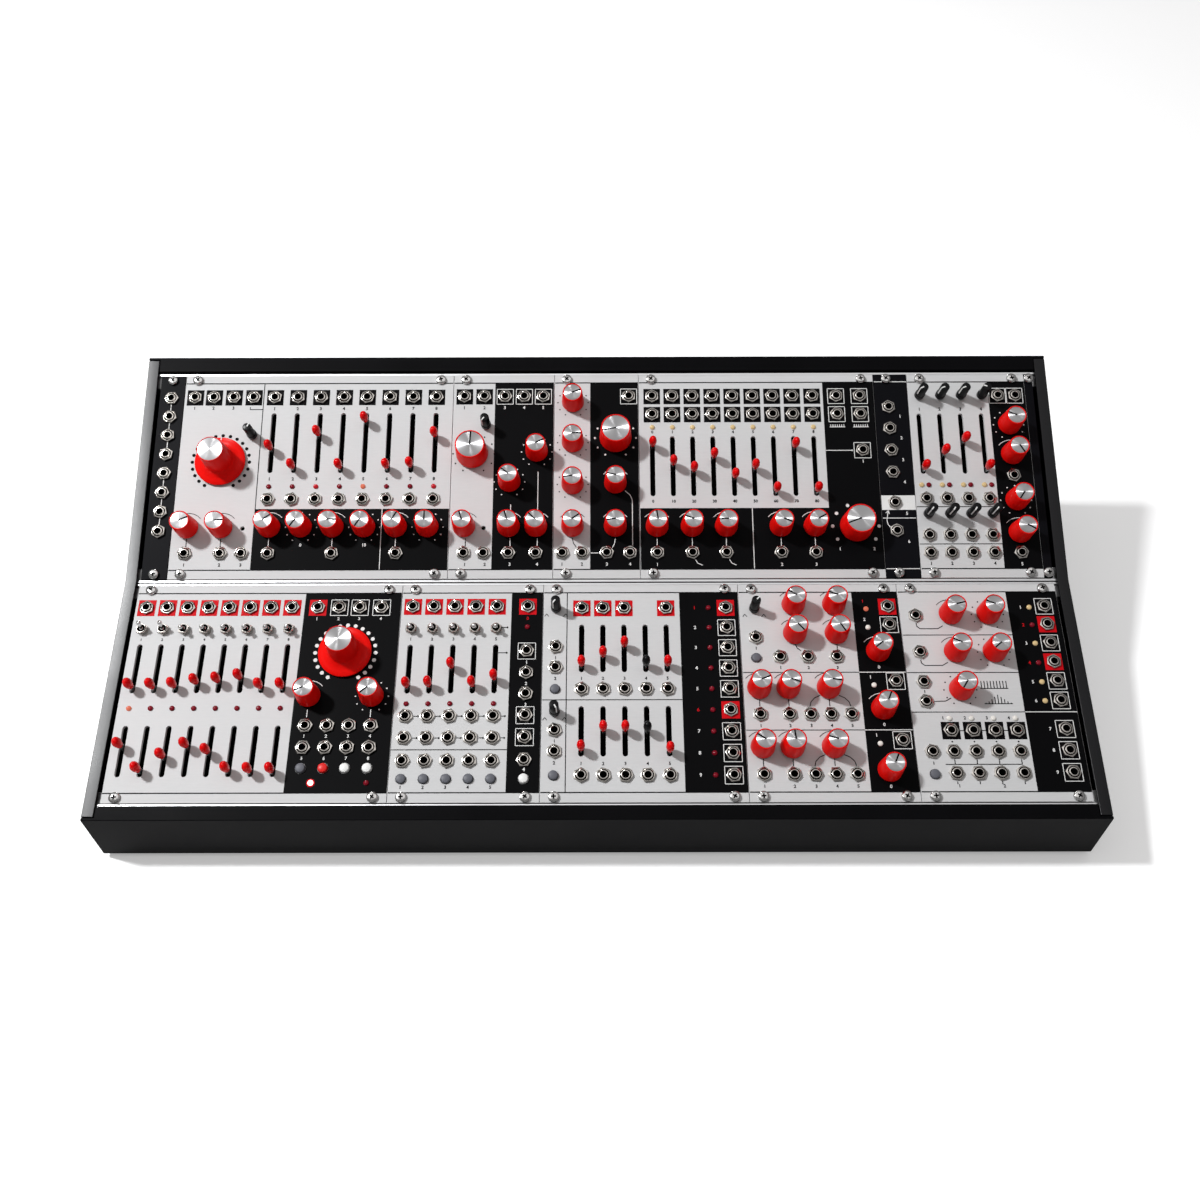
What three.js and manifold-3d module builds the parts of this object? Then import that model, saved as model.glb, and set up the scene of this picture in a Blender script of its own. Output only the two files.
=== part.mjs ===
// A desktop modular synthesizer: two rows of panel modules in a folded steel case.
// X runs along the rows, Y to the rear and Z up. The origin is on the table, under the middle.
import * as THREE from "three";
import { mergeVertices } from "three/addons/utils/BufferGeometryUtils.js";
import Module from "manifold-3d";

const wasm = await Module();
wasm.setup();

// Lengths are millimetres, angles are degrees and counts are plain numbers.
// The panel system
const unitWidth = 5.08;
const unitsPerRow = 104;
const panelHeight = 128.5;
const panelThickness = 2;
const panelGap = 0.3; // left between two neighbouring panels
const seatGap = 0.3; // between a piece and what carries it
const cutOverrun = 1; // how far a cut runs past the face that it opens
const clearOfCase = 300; // beyond any point of the case
const weldDistance = 0.0001; // corners nearer than this are one corner

// The two rows
const frontTilt = 13.5;
const rearTilt = 23.5;
const rowGap = 4; // from the front row's upper edge to the rear row's lower edge, bent in the middle

// The case
const sheet = 1.5;
const frontFaceHeight = 38;
const lipProud = 1; // the case's edges stand this far above the panels
const frontLipReach = 9.5; // from the panels' lower edge to the front face
const frontLipClear = 1.5;
const rearLipReach = 12;
const rearLipClear = 2.5;
const sideReach = 8.34; // from the panels' ends to the case's outer faces
const sideLipWidth = 6.6;

// The feet
const footHeight = 3;
const footTopRadius = 5.2;
const footRadius = 6;
const footInset = 22;
const footSides = 12;

// The rails that carry the panels
const railSeatWidth = 7; // under the panel's edge
const railDepth = 8;
const railLipWidth = 1.5;
const railLipGap = 0.3; // beside the panel's edge

// Boards behind the panels
const componentDepth = 9; // room between a panel and its board
const boardThickness = 1.6;
const boardMarginX = 2;
const fuse = 0.4; // how far joined solids run into each other
const boardMarginV = 10; // from the panel's lower and upper edges
const blindMargin = 1.2; // left under a blind hole

// Ribbons and the power bus
const ribbonWidth = 12.7;
const ribbonThickness = 1.2;
const frontRibbonDrop = 20.5; // from a front panel's upper edge to where its ribbon leaves
const rearRibbonAt = 15; // the same from a rear panel's lower edge
const busThickness = 1.6;
const busEndMargin = 16.48; // from the outermost header to the board's end
const busMargin = 12; // from the ribbons to the bus board's long edges
const busPostHeight = 6;
const busPostRadius = 3;
const busPostInset = 8;
const headerHeight = 8.5;
const headerWidth = 8.8;
const headerLength = 20;

// Jacks
const nutRadius = 4.3; // to its corners
const nutHeight = 1.9;
const jackBoreRadius = 1.85;
const socketHalfWidth = 4.5;
const hexSides = 6;

// Knobs: base and top radius, height, and clearance above the panel
const knobClearance = 1;
const smallKnob = { base: 6.7, top: 5.8, height: 14, sides: 12 };
const mediumKnob = { base: 9.6, top: 8.7, height: 14.5, sides: 16 };
const largeKnob = { base: 8.6, top: 7.7, height: 20, sides: 16, skirt: 15, skirtHeight: 5, skirtRim: 1.4 };
const slimKnob = { base: 3, top: 2.6, height: 12.5, sides: 8 };
const fixedSides = 8; // of a knob that is one piece with its module
const shaftRadius = 3;
const slimShaftRadius = 1.6;
const shaftSides = 8;
const turnClearance = 0.25;
const pointerWidth = 0.6;
const pointerProud = 0.3;
const pointerStartShare = 0.2; // of the knob's top radius
const potHalfWidth = 5.5;

// Sliders
const slotWidth = 3;
const slotEnd = 3; // from a slot's end to the lever's furthest place
const leverThickness = 1;
const leverWidth = 3.4;
const capFoot = 2.6; // where the cap starts above the panel
const capHeight = 8.6;
const capFootRadius = 1.5;
const capRadius = 2.35;
const capTipRadius = 1.3;
const capWaistShare = 0.6; // of the cap's height, where it is widest
const capSides = 8;
const fixedCapSides = 6;
const sliderDepth = 8; // behind the panel
const sliderWall = 2.5;

// Toggles
const bushingRadius = 3.5;
const bushingHeight = 3.4;
const bushingBore = 2.2;
const bushingFloor = 0.9;
const toggleBall = 1.4;
const toggleNeck = 0.9;
const toggleTip = 1.3;
const toggleLength = 6.4;
const toggleLean = 14;
const neckShare = 0.6; // of the ball's radius, where the stem leaves it

// Buttons
const buttonRadius = 2.6;
const buttonProud = 1.8;
const buttonReach = 4; // below the panel's face
const buttonTravel = 1;
const buttonGap = 0.3;
const buttonSides = 10;

// Power entry on the rear wall
const inletPlace = -190;
const switchPlace = -150;
const entryHeight = 40; // above the case floor
const inletFlangeRadius = 6.5;
const inletFlangeDepth = 1.5;
const inletBodyRadius = 5;
const inletBodyDepth = 12;
const inletBoreRadius = 3.2;
const inletBoreDepth = 9;
const inletPinRadius = 1;
const switchWidth = 21;
const switchHeight = 15;
const switchRim = 1.5;
const switchDepth = 11;
const switchWall = 1.8;
const switchEndWall = 0.6;
const rockerFace = 0.8; // above the wall, at the rocker's two ends
const rockerDepth = 5;
const rockerRise = 1.2;
const rockerRest = 8;
const rockerSide = 0.3;
const rockerEnd = 0.9;

// Materials
function finish(color, roughness, metalness) {
  return new THREE.MeshStandardMaterial({ color, roughness, metalness });
}
const blackSteel = finish(0x151517, 0.45, 0.3);
const aluminium = finish(0xc9ccd0, 0.35, 0.9);
const palePanel = finish(0xd6d5d3, 0.45, 0.2);
const darkPanel = finish(0x17181b, 0.45, 0.2);
const redPlastic = finish(0xc4060a, 0.25, 0);
const blackPlastic = finish(0x101012, 0.4, 0);
const greyPlastic = finish(0x6c7078, 0.45, 0);
const boardGreen = finish(0x1c3a2a, 0.55, 0.1);
const brightMetal = finish(0xd9dadc, 0.2, 1);
const rubber = finish(0x0d0d0e, 0.85, 0);

// Solids from three.js geometry
function solid(geometry) {
  const bare = geometry.clone();
  for (const name of ["normal", "uv"]) bare.deleteAttribute(name);
  const merged = mergeVertices(bare, weldDistance);
  const vertProperties = merged.attributes.position.array;
  const triVerts = new Uint32Array(merged.index.array);
  return new wasm.Manifold(new wasm.Mesh({ numProp: 3, vertProperties, triVerts }));
}

// A block between two corners
function block(low, high) {
  const size = high.map((end, axis) => end - low[axis]);
  const middle = high.map((end, axis) => (end + low[axis]) / 2);
  return solid(new THREE.BoxGeometry(...size).translate(...middle));
}

// An upright prism or frustum at (x, y), between two heights
function post(x, y, low, high, lowRadius, highRadius, sides, turn = 0) {
  const shape = new THREE.CylinderGeometry(highRadius, lowRadius, high - low, sides);
  shape.rotateX(Math.PI / 2).rotateZ(turn);
  return solid(shape.translate(x, y, (low + high) / 2));
}

// A turned shape about the upright line at (x, y): points are [radius, height]
function turned(x, y, points, sides) {
  const profile = points.map(([radius, height]) => new THREE.Vector2(radius, height));
  return solid(new THREE.LatheGeometry(profile, sides).rotateX(Math.PI / 2).translate(x, y, 0));
}

// An outline of [y, z] points drawn out along X
function drawnAlongX(outline, low, high) {
  const shape = new THREE.Shape(outline.map(([y, z]) => new THREE.Vector2(y, z)));
  const made = new THREE.ExtrudeGeometry(shape, { depth: high - low, bevelEnabled: false });
  // The outline's axes become Y and Z, and its depth becomes X.
  const swap = new THREE.Matrix4().set(0, 0, 1, low, 1, 0, 0, 0, 0, 1, 0, 0, 0, 0, 0, 1);
  return solid(made.applyMatrix4(swap));
}

const join = (solids) => solids.reduce((whole, piece) => whole.add(piece));
const cut = (whole, tools) => (tools.length ? whole.subtract(join(tools)) : whole);

function meshOf(name, shape, material) {
  const raw = shape.getMesh();
  const geometry = new THREE.BufferGeometry();
  geometry.setAttribute("position", new THREE.BufferAttribute(raw.vertProperties, 3));
  geometry.setIndex(new THREE.BufferAttribute(raw.triVerts, 1));
  const flat = geometry.toNonIndexed();
  flat.computeVertexNormals();
  const mesh = new THREE.Mesh(flat, material);
  mesh.name = name;
  return mesh;
}

// The case's section in Y and Z
const radians = (degrees) => (degrees * Math.PI) / 180;
const frontRow = { tilt: radians(frontTilt), y: 0, z: 0 };
const rearRow = { tilt: radians(rearTilt), y: 0, z: 0 };

// A point on a row: v along the slope from the panels' lower edge, n above their faces
function rowPoint(row, v, n) {
  const y = row.y + v * Math.cos(row.tilt) - n * Math.sin(row.tilt);
  const z = row.z + v * Math.sin(row.tilt) + n * Math.cos(row.tilt);
  return [y, z];
}

// Where the rows stand: the front corner of the case gives the height, the whole depth the origin
const caseBottom = footHeight + seatGap;
const frontCornerDrop = rowPoint(frontRow, -frontLipReach, lipProud)[1];
frontRow.z = caseBottom + frontFaceHeight - frontCornerDrop;
const [upperEdgeY, upperEdgeZ] = rowPoint(frontRow, panelHeight, 0);
rearRow.y = upperEdgeY + (rowGap / 2) * (Math.cos(frontRow.tilt) + Math.cos(rearRow.tilt));
rearRow.z = upperEdgeZ + (rowGap / 2) * (Math.sin(frontRow.tilt) + Math.sin(rearRow.tilt));
const frontFaceAtFirst = rowPoint(frontRow, -frontLipReach, lipProud)[0];
const rearFaceAtFirst = rowPoint(rearRow, panelHeight + rearLipReach, lipProud)[0];
const shift = -(frontFaceAtFirst + rearFaceAtFirst + inletFlangeDepth) / 2;
frontRow.y += shift;
rearRow.y += shift;
const frontFace = frontFaceAtFirst + shift;
const rearFace = rearFaceAtFirst + shift;
const rowWidth = unitWidth * unitsPerRow;

// The height of a line parallel to a row's face, at a level place y
const heightOnRow = (row, n, y) => row.z + n / Math.cos(row.tilt) + (y - row.y) * Math.tan(row.tilt);

// The kink between the rows, for a line n above both faces
function kink(n) {
  const gap = heightOnRow(rearRow, n, 0) - heightOnRow(frontRow, n, 0);
  const y = gap / (Math.tan(frontRow.tilt) - Math.tan(rearRow.tilt));
  return [y, heightOnRow(frontRow, n, y)];
}

const half = rowWidth / 2 + sideReach;
const lipEnd = half - sideLipWidth; // inner edge of a side lip
const lipUnder = lipProud - sheet;

// The tray: floor, front wall and rear wall folded from one sheet, with a lip at each end
function makeTray() {
  const innerFront = frontFace + sheet;
  const innerRear = rearFace - sheet;
  const outline = [
    [frontFace, caseBottom],
    [rearFace, caseBottom],
    [rearFace, heightOnRow(rearRow, lipProud, rearFace)],
    rowPoint(rearRow, panelHeight + rearLipClear, lipProud),
    rowPoint(rearRow, panelHeight + rearLipClear, lipUnder),
    [innerRear, heightOnRow(rearRow, lipUnder, innerRear)],
    [innerRear, caseBottom + sheet],
    [innerFront, caseBottom + sheet],
    [innerFront, heightOnRow(frontRow, lipUnder, innerFront)],
    rowPoint(frontRow, -frontLipClear, lipUnder),
    rowPoint(frontRow, -frontLipClear, lipProud),
    [frontFace, heightOnRow(frontRow, lipProud, frontFace)],
  ];
  const folded = drawnAlongX(outline, -half, half);
  // The side lips take the corners, so the front and rear lips stop short of them.
  const corners = [];
  for (const side of [-1, 1]) {
    const inner = side * (lipEnd - seatGap);
    const outer = side * (half + cutOverrun);
    const low = Math.min(inner, outer);
    const high = Math.max(inner, outer);
    const middle = caseBottom + sheet + cutOverrun;
    corners.push(block([low, innerFront, middle], [high, 0, clearOfCase]));
    corners.push(block([low, 0, middle], [high, innerRear, clearOfCase]));
  }
  const window = (x, halfWidth, halfHeight) =>
    block(
      [x - halfWidth, innerRear - cutOverrun, entryZ - halfHeight],
      [x + halfWidth, rearFace + cutOverrun, entryZ + halfHeight],
    );
  const inletHalf = inletBodyRadius + seatGap;
  const switchHole = window(switchPlace, switchWidth / 2 - switchRim, switchHeight / 2 - switchRim);
  return cut(folded, [...corners, window(inletPlace, inletHalf, inletHalf), switchHole]);
}

// A side: an upright cheek between the walls, folded over into the side lip
function makeSide(side) {
  const front = frontFace + sheet + seatGap;
  const rear = rearFace - sheet - seatGap;
  const floor = caseBottom + sheet + seatGap;
  const [kinkY, kinkZ] = kink(lipProud);
  const [underY, underZ] = kink(lipUnder);
  const ridge = [
    [rear, heightOnRow(rearRow, lipProud, rear)],
    [kinkY, kinkZ],
    [front, heightOnRow(frontRow, lipProud, front)],
  ];
  const cheekOutline = [[front, floor], [rear, floor], ...ridge];
  const lipOutline = [
    ...ridge,
    [front, heightOnRow(frontRow, lipUnder, front)],
    [underY, underZ],
    [rear, heightOnRow(rearRow, lipUnder, rear)],
  ];
  const spans = side < 0 ? [-half, -half + sheet, -half, -lipEnd] : [half - sheet, half, lipEnd, half];
  const cheek = drawnAlongX(cheekOutline, spans[0], spans[1]);
  return cheek.add(drawnAlongX(lipOutline, spans[2], spans[3]));
}

// A rail: a bar under the panels' edges, with a lip beside them. side is 1 at a row's upper edge
function makeRail(side) {
  const edge = side < 0 ? 0 : panelHeight;
  const seat = -panelThickness - seatGap;
  const lipTop = lipUnder - seatGap;
  const lipInner = edge + side * railLipGap;
  const lipOuter = lipInner + side * railLipWidth;
  const inner = edge - side * railSeatWidth;
  const outline = [
    [inner, seat - railDepth],
    [lipOuter, seat - railDepth],
    [lipOuter, lipTop],
    [lipInner, lipTop],
    [lipInner, seat],
    [inner, seat],
  ];
  if (side < 0) outline.reverse();
  const reach = half - sheet - seatGap;
  return drawnAlongX(outline, -reach, reach);
}

function makeFoot() {
  return post(0, 0, 0, footHeight, footRadius, footTopRadius, footSides);
}

// Power bus board, on posts, with a header under each ribbon
const entryZ = caseBottom + entryHeight;
const busTop = caseBottom + sheet + seatGap + busPostHeight + busThickness;
const boardBack = -panelThickness - componentDepth - boardThickness;
const frontRibbonAt = panelHeight - frontRibbonDrop;
const frontRibbonY = rowPoint(frontRow, frontRibbonAt, boardBack)[0];
const rearRibbonY = rowPoint(rearRow, rearRibbonAt, boardBack)[0];

function makeBus(ribbonPlaces) {
  const low = caseBottom + sheet + seatGap;
  const outermost = Math.max(...ribbonPlaces.map(({ x }) => Math.abs(x)));
  const halfLength = outermost + headerLength / 2 + busEndMargin;
  const nearY = frontRibbonY - busMargin;
  const farY = rearRibbonY + busMargin;
  const pieces = [block([-halfLength, nearY, busTop - busThickness], [halfLength, farY, busTop])];
  for (const x of [-halfLength + busPostInset, 0, halfLength - busPostInset]) {
    for (const y of [nearY + busPostInset, farY - busPostInset]) {
      pieces.push(post(x, y, low, busTop - busThickness / 2, busPostRadius, busPostRadius, hexSides));
    }
  }
  for (const { x, y } of ribbonPlaces) {
    const corner = [x - headerLength / 2, y - headerWidth / 2, busTop - busThickness / 2];
    pieces.push(block(corner, [x + headerLength / 2, y + headerWidth / 2, busTop + headerHeight]));
  }
  return join(pieces);
}

// Power inlet: a flanged barrel through the rear wall, with a centre pin. Built along Z, then laid down
function makeInlet() {
  const barrel = post(0, 0, -inletBodyDepth, 0, inletBodyRadius, inletBodyRadius, footSides);
  const flange = post(0, 0, 0, inletFlangeDepth, inletFlangeRadius, inletFlangeRadius, footSides);
  const mouth = inletFlangeDepth + cutOverrun;
  const bore = post(0, 0, -inletBoreDepth, mouth, inletBoreRadius, inletBoreRadius, footSides);
  const pin = post(0, 0, -inletBoreDepth - sheet, 0, inletPinRadius, inletPinRadius, hexSides);
  return barrel.add(flange).subtract(bore).add(pin);
}

// Switch housing, open at its face, and the rocker that it carries
function makeSwitchHousing() {
  const rimCorner = [switchWidth / 2, switchHeight / 2, sheet];
  const rim = block([-switchWidth / 2, -switchHeight / 2, seatGap], rimCorner);
  const bodyX = switchWidth / 2 - switchRim - seatGap;
  const bodyY = switchHeight / 2 - switchRim - seatGap;
  const body = block([-bodyX, -bodyY, -switchDepth], [bodyX, bodyY, sheet]);
  const wellX = bodyX - switchWall;
  const wellY = bodyY - switchEndWall;
  const well = block([-wellX, -wellY, -rockerDepth - rockerEnd], [wellX, wellY, sheet + cutOverrun]);
  return rim.add(body).subtract(well);
}

function makeRocker() {
  const halfX = switchWidth / 2 - switchRim - seatGap - switchWall - rockerSide;
  const halfY = switchHeight / 2 - switchRim - seatGap - switchEndWall - rockerEnd;
  const outline = [
    [-halfY, -rockerDepth / 2],
    [0, -rockerDepth + seatGap],
    [halfY, -rockerDepth / 2],
    [halfY, rockerFace],
    [0, rockerFace - rockerRise],
    [-halfY, rockerFace],
  ];
  return drawnAlongX(outline, -halfX, halfX);
}

// Places on a panel are shares of its width and of its height.
// evenShares gives a row or a column of places from the first to the last.
function evenShares(first, last, count) {
  return Array.from({ length: count }, (_, index) => first + ((last - first) * index) / (count - 1));
}

// Jacks are rows of [share of the height, shares of the width].
// Knobs, buttons and toggles are [share of the width, share of the height, pointer angle, name].
// A control with a name is a piece of its own. The others are one piece with their module.
// Slider banks give the slot's low and high shares, and each lever's share of its travel.
const stageShares = evenShares(0.043, 0.59, 8);
const harmonicShares = evenShares(0.338, 0.938, 8);
const tapShares = evenShares(0.056, 0.735, 9);
const channelShares = [0.089, 0.26, 0.436, 0.61];
const choiceShares = evenShares(0.082, 0.675, 5);
const segmentShares = evenShares(0.197, 0.626, 5);
const inputShares = [0.093, 0.269, 0.395, 0.517, 0.64];
const registerShares = evenShares(0.222, 0.616, 4);

const rearModules = [
  {
    name: "passive_multiple",
    units: 3,
    dark: true,
    columnShares: [[0.5, evenShares(0.227, 0.886, 8)]],
  },
  {
    name: "harmonic_oscillator",
    units: 32,
    ribbon: true,
    jackShares: [
      [0.889, [0.041, 0.111, 0.185, 0.259, ...harmonicShares]],
      [0.381, harmonicShares],
      [0.121, [0.055, 0.182, 0.258, 0.353, 0.581, 0.811]],
    ],
    largeKnobShares: [[0.156, 0.565, 0, "coarse_tuning_knob"]],
    slimKnobShares: [[0.266, 0.696, 25, "fine_tuning_knob"]],
    smallKnobShares: [
      [0.057, 0.243, 65],
      [0.18, 0.243, 88, "modulation_depth_knob"],
      [0.352, 0.246, 55],
      [0.466, 0.246, -145, "scan_width_knob"],
      [0.58, 0.246, 92],
      [0.694, 0.246, -147],
      [0.808, 0.246, 31],
      [0.922, 0.246, 0],
    ],
    sliderShares: [
      {
        low: 0.511,
        high: 0.81,
        places: harmonicShares,
        travel: [0.37, 0, 0.65, 0, 0.92, 0, 0.03, 0.62],
        names: ["harmonic_1_slider", undefined, undefined, undefined, "harmonic_5_slider"],
      },
    ],
  },
  {
    name: "dual_waveform_oscillator",
    units: 12,
    ribbon: true,
    jackShares: [
      [0.891, [0.112, 0.308, 0.513, 0.702, 0.891]],
      [0.121, [0.144, 0.333, 0.571, 0.833]],
    ],
    mediumKnobShares: [[0.203, 0.604, 3, "pitch_knob"]],
    slimKnobShares: [[0.333, 0.743, -140, "pitch_trim_knob"]],
    smallKnobShares: [
      [0.571, 0.464, -52],
      [0.833, 0.612, 65, "timbre_knob"],
      [0.144, 0.246, -18],
      [0.571, 0.246, -18],
      [0.833, 0.246, -45],
    ],
  },
  {
    name: "amplifier_and_tone",
    units: 10,
    ribbon: true,
    jackShares: [
      [0.891, [0.882]],
      [0.121, [0.104, 0.331, 0.616, 0.882]],
    ],
    mediumKnobShares: [[0.724, 0.681, -100, "amplitude_knob"]],
    smallKnobShares: [
      [0.222, 0.86, 69],
      [0.222, 0.658, 90, "cutoff_knob"],
      [0.222, 0.451, -97],
      [0.222, 0.246, 55],
      [0.719, 0.455, -78],
      [0.715, 0.246, -97],
    ],
  },
  {
    name: "multitap_delay",
    units: 28,
    ribbon: true,
    jackShares: [
      [0.89, [...tapShares, 0.837, 0.936]],
      [0.798, [...tapShares, 0.837, 0.936]],
      [0.617, [0.936]],
      [0.121, [0.07, 0.214, 0.353, 0.578, 0.719]],
    ],
    mediumKnobShares: [[0.889, 0.244, -111, "delay_time_knob"]],
    smallKnobShares: [
      [0.07, 0.245, -8],
      [0.214, 0.245, -68],
      [0.354, 0.245, -93],
      [0.579, 0.245, 113, "feedback_knob"],
      [0.719, 0.245, 60],
    ],
    sliderShares: [
      {
        low: 0.393,
        high: 0.689,
        places: tapShares,
        travel: [0.9, 0.53, 0.4, 0.67, 0.27, 0.45, 0, 0.87, 0],
        names: ["tap_1_slider"],
      },
    ],
  },
  {
    name: "noise_and_filter",
    units: 4,
    dark: true,
    ribbon: true,
    columnShares: [[0.39, [0.223, 0.359, 0.507, 0.616, 0.725, 0.833]]],
  },
  {
    name: "scan_and_pan",
    units: 14,
    ribbon: true,
    jackShares: [
      [0.378, channelShares],
      [0.202, channelShares],
      [0.118, [...channelShares, 0.83]],
      [0.89, [0.758, 0.904]],
      [0.49, [0.83]],
    ],
    slimKnobShares: [
      [0.093, 0.889, -115],
      [0.269, 0.889, -110],
      [0.444, 0.889, -110],
      [0.62, 0.889, -70],
      [0.093, 0.302, -140, "pan_1_knob"],
      [0.269, 0.302, -145],
      [0.444, 0.302, -145],
      [0.62, 0.302, -140],
    ],
    smallKnobShares: [
      [0.831, 0.742, -68, "scan_position_knob"],
      [0.831, 0.594, 150],
      [0.831, 0.369, -145],
      [0.831, 0.213, 119],
    ],
    sliderShares: [
      {
        low: 0.5,
        high: 0.8,
        places: [0.083, 0.257, 0.433, 0.609],
        travel: [0, 0.3, 0.54, 0],
        names: [undefined, undefined, "channel_3_slider"],
      },
    ],
  },
  { name: "blank_panel", units: 1, dark: true, bare: true },
];

const frontModules = [
  {
    name: "multistage_sequencer",
    units: 30,
    ribbon: true,
    jackShares: [
      [0.89, [...stageShares, 0.687, 0.768, 0.845, 0.926]],
      [0.336, evenShares(0.687, 0.923, 4)],
      [0.239, evenShares(0.687, 0.923, 4)],
    ],
    largeKnobShares: [[0.806, 0.672, 0, "stage_time_knob"]],
    smallKnobShares: [
      [0.689, 0.47, -112],
      [0.918, 0.47, -130, "pulse_width_knob"],
    ],
    toggleShares: [
      [stageShares[0], 0.782, 1, "stage_1_toggle"],
      [stageShares[1], 0.782, 1],
      ...stageShares.slice(2).map((x) => [x, 0.782, -1]),
    ],
    sliderShares: [
      {
        low: 0.486,
        high: 0.715,
        places: stageShares,
        travel: [0, 0, 0.02, 0.11, 0.15, 0.23, 0, 0],
        names: [undefined, undefined, undefined, undefined, "stage_5_upper_slider"],
      },
      {
        low: 0.112,
        high: 0.338,
        places: stageShares,
        travel: [0.61, 0.02, 0.35, 0.61, 0.46, 0.02, 0, 0],
        names: [undefined, undefined, "stage_3_lower_slider"],
      },
    ],
    buttonShares: [
      [0.687, 0.149],
      [0.766, 0.149, 0, "stop_button"],
      [0.843, 0.149],
      [0.922, 0.149],
    ],
  },
  {
    name: "stage_selector",
    units: 16,
    ribbon: true,
    jackShares: [
      [0.893, [...choiceShares, 0.891]],
      [0.378, choiceShares],
      [0.281, choiceShares],
      [0.18, choiceShares],
    ],
    columnShares: [[0.891, [0.184, 0.284, 0.382, 0.479, 0.577, 0.679]]],
    toggleShares: [
      [choiceShares[0], 0.784, -1, "choice_1_toggle"],
      ...choiceShares.slice(1).map((x) => [x, 0.784, -1]),
    ],
    sliderShares: [
      {
        low: 0.482,
        high: 0.711,
        places: choiceShares,
        travel: [0.04, 0.06, 0.53, 0.06, 0.23],
        names: [undefined, undefined, "choice_3_slider"],
      },
    ],
    buttonShares: [
      [0.082, 0.102, 0, "choice_1_button"],
      ...choiceShares.slice(1).map((x) => [x, 0.102]),
      [0.891, 0.102],
    ],
  },
  {
    name: "multi_envelope",
    units: 22,
    ribbon: true,
    jackShares: [
      [0.884, [0.197, 0.304, 0.412, 0.626]],
      [0.5, segmentShares],
      [0.116, segmentShares],
    ],
    columnShares: [
      [0.066, [0.22, 0.314]],
      [0.066, [0.601, 0.698]],
      [0.932, evenShares(0.116, 0.885, 9)],
    ],
    slimKnobShares: [
      [0.066, 0.881, -145, "curve_knob"],
      [0.066, 0.395, 150],
    ],
    sliderShares: [
      {
        low: 0.579,
        high: 0.805,
        places: segmentShares,
        travel: [0.04, 0.28, 0.54, 0.04, 0.04],
        names: [undefined, undefined, "segment_3_slider"],
      },
      {
        low: 0.198,
        high: 0.423,
        places: segmentShares,
        travel: [0.04, 0.52, 0.52, 0.5, 0],
        names: [],
      },
    ],
    buttonShares: [
      [0.066, 0.501, 0, "gate_button"],
      [0.064, 0.116],
    ],
  },
  {
    name: "voltage_processor",
    units: 18,
    ribbon: true,
    jackShares: [
      [0.74, [0.094]],
      [0.648, [0.236, 0.406, 0.583]],
      [0.383, inputShares],
      [0.118, inputShares],
      [0.534, [0.928]],
      [0.267, [0.928]],
    ],
    columnShares: [[0.928, [0.801, 0.889]]],
    slimKnobShares: [[0.094, 0.877, 45]],
    smallKnobShares: [
      [0.339, 0.896, -58],
      [0.592, 0.896, -70],
      [0.335, 0.757, 140],
      [0.592, 0.757, 150],
      [0.094, 0.502, 69, "input_1_knob"],
      [0.27, 0.502, 110],
      [0.515, 0.502, 99],
      [0.094, 0.237, -57],
      [0.27, 0.237, -5],
      [0.515, 0.237, -73],
      [0.837, 0.672, -128],
      [0.831, 0.407, 24],
      [0.831, 0.135, 25],
    ],
    buttonShares: [[0.09, 0.644]],
  },
  {
    name: "random_sampler",
    units: 18,
    ribbon: true,
    jackShares: [
      [0.844, [0.096]],
      [0.669, [0.096]],
      [0.309, registerShares],
      [0.216, [0.096, ...registerShares]],
      [0.122, registerShares],
    ],
    columnShares: [
      [0.096, [0.44, 0.53]],
      [0.906, [0.125, 0.221, 0.315]],
      [0.906, evenShares(0.444, 0.889, 6)],
    ],
    smallKnobShares: [
      [0.313, 0.85, 77, "correlation_knob"],
      [0.547, 0.85, -65],
      [0.313, 0.669, -65],
      [0.551, 0.669, -130],
      [0.313, 0.493, -147],
    ],
    buttonShares: [[0.096, 0.118, 0, "trigger_button"]],
  },
];

// One module: its panel, sockets, board, ribbon and fixed controls as one solid, and its loose controls
const boardTop = -panelThickness - componentDepth;

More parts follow.
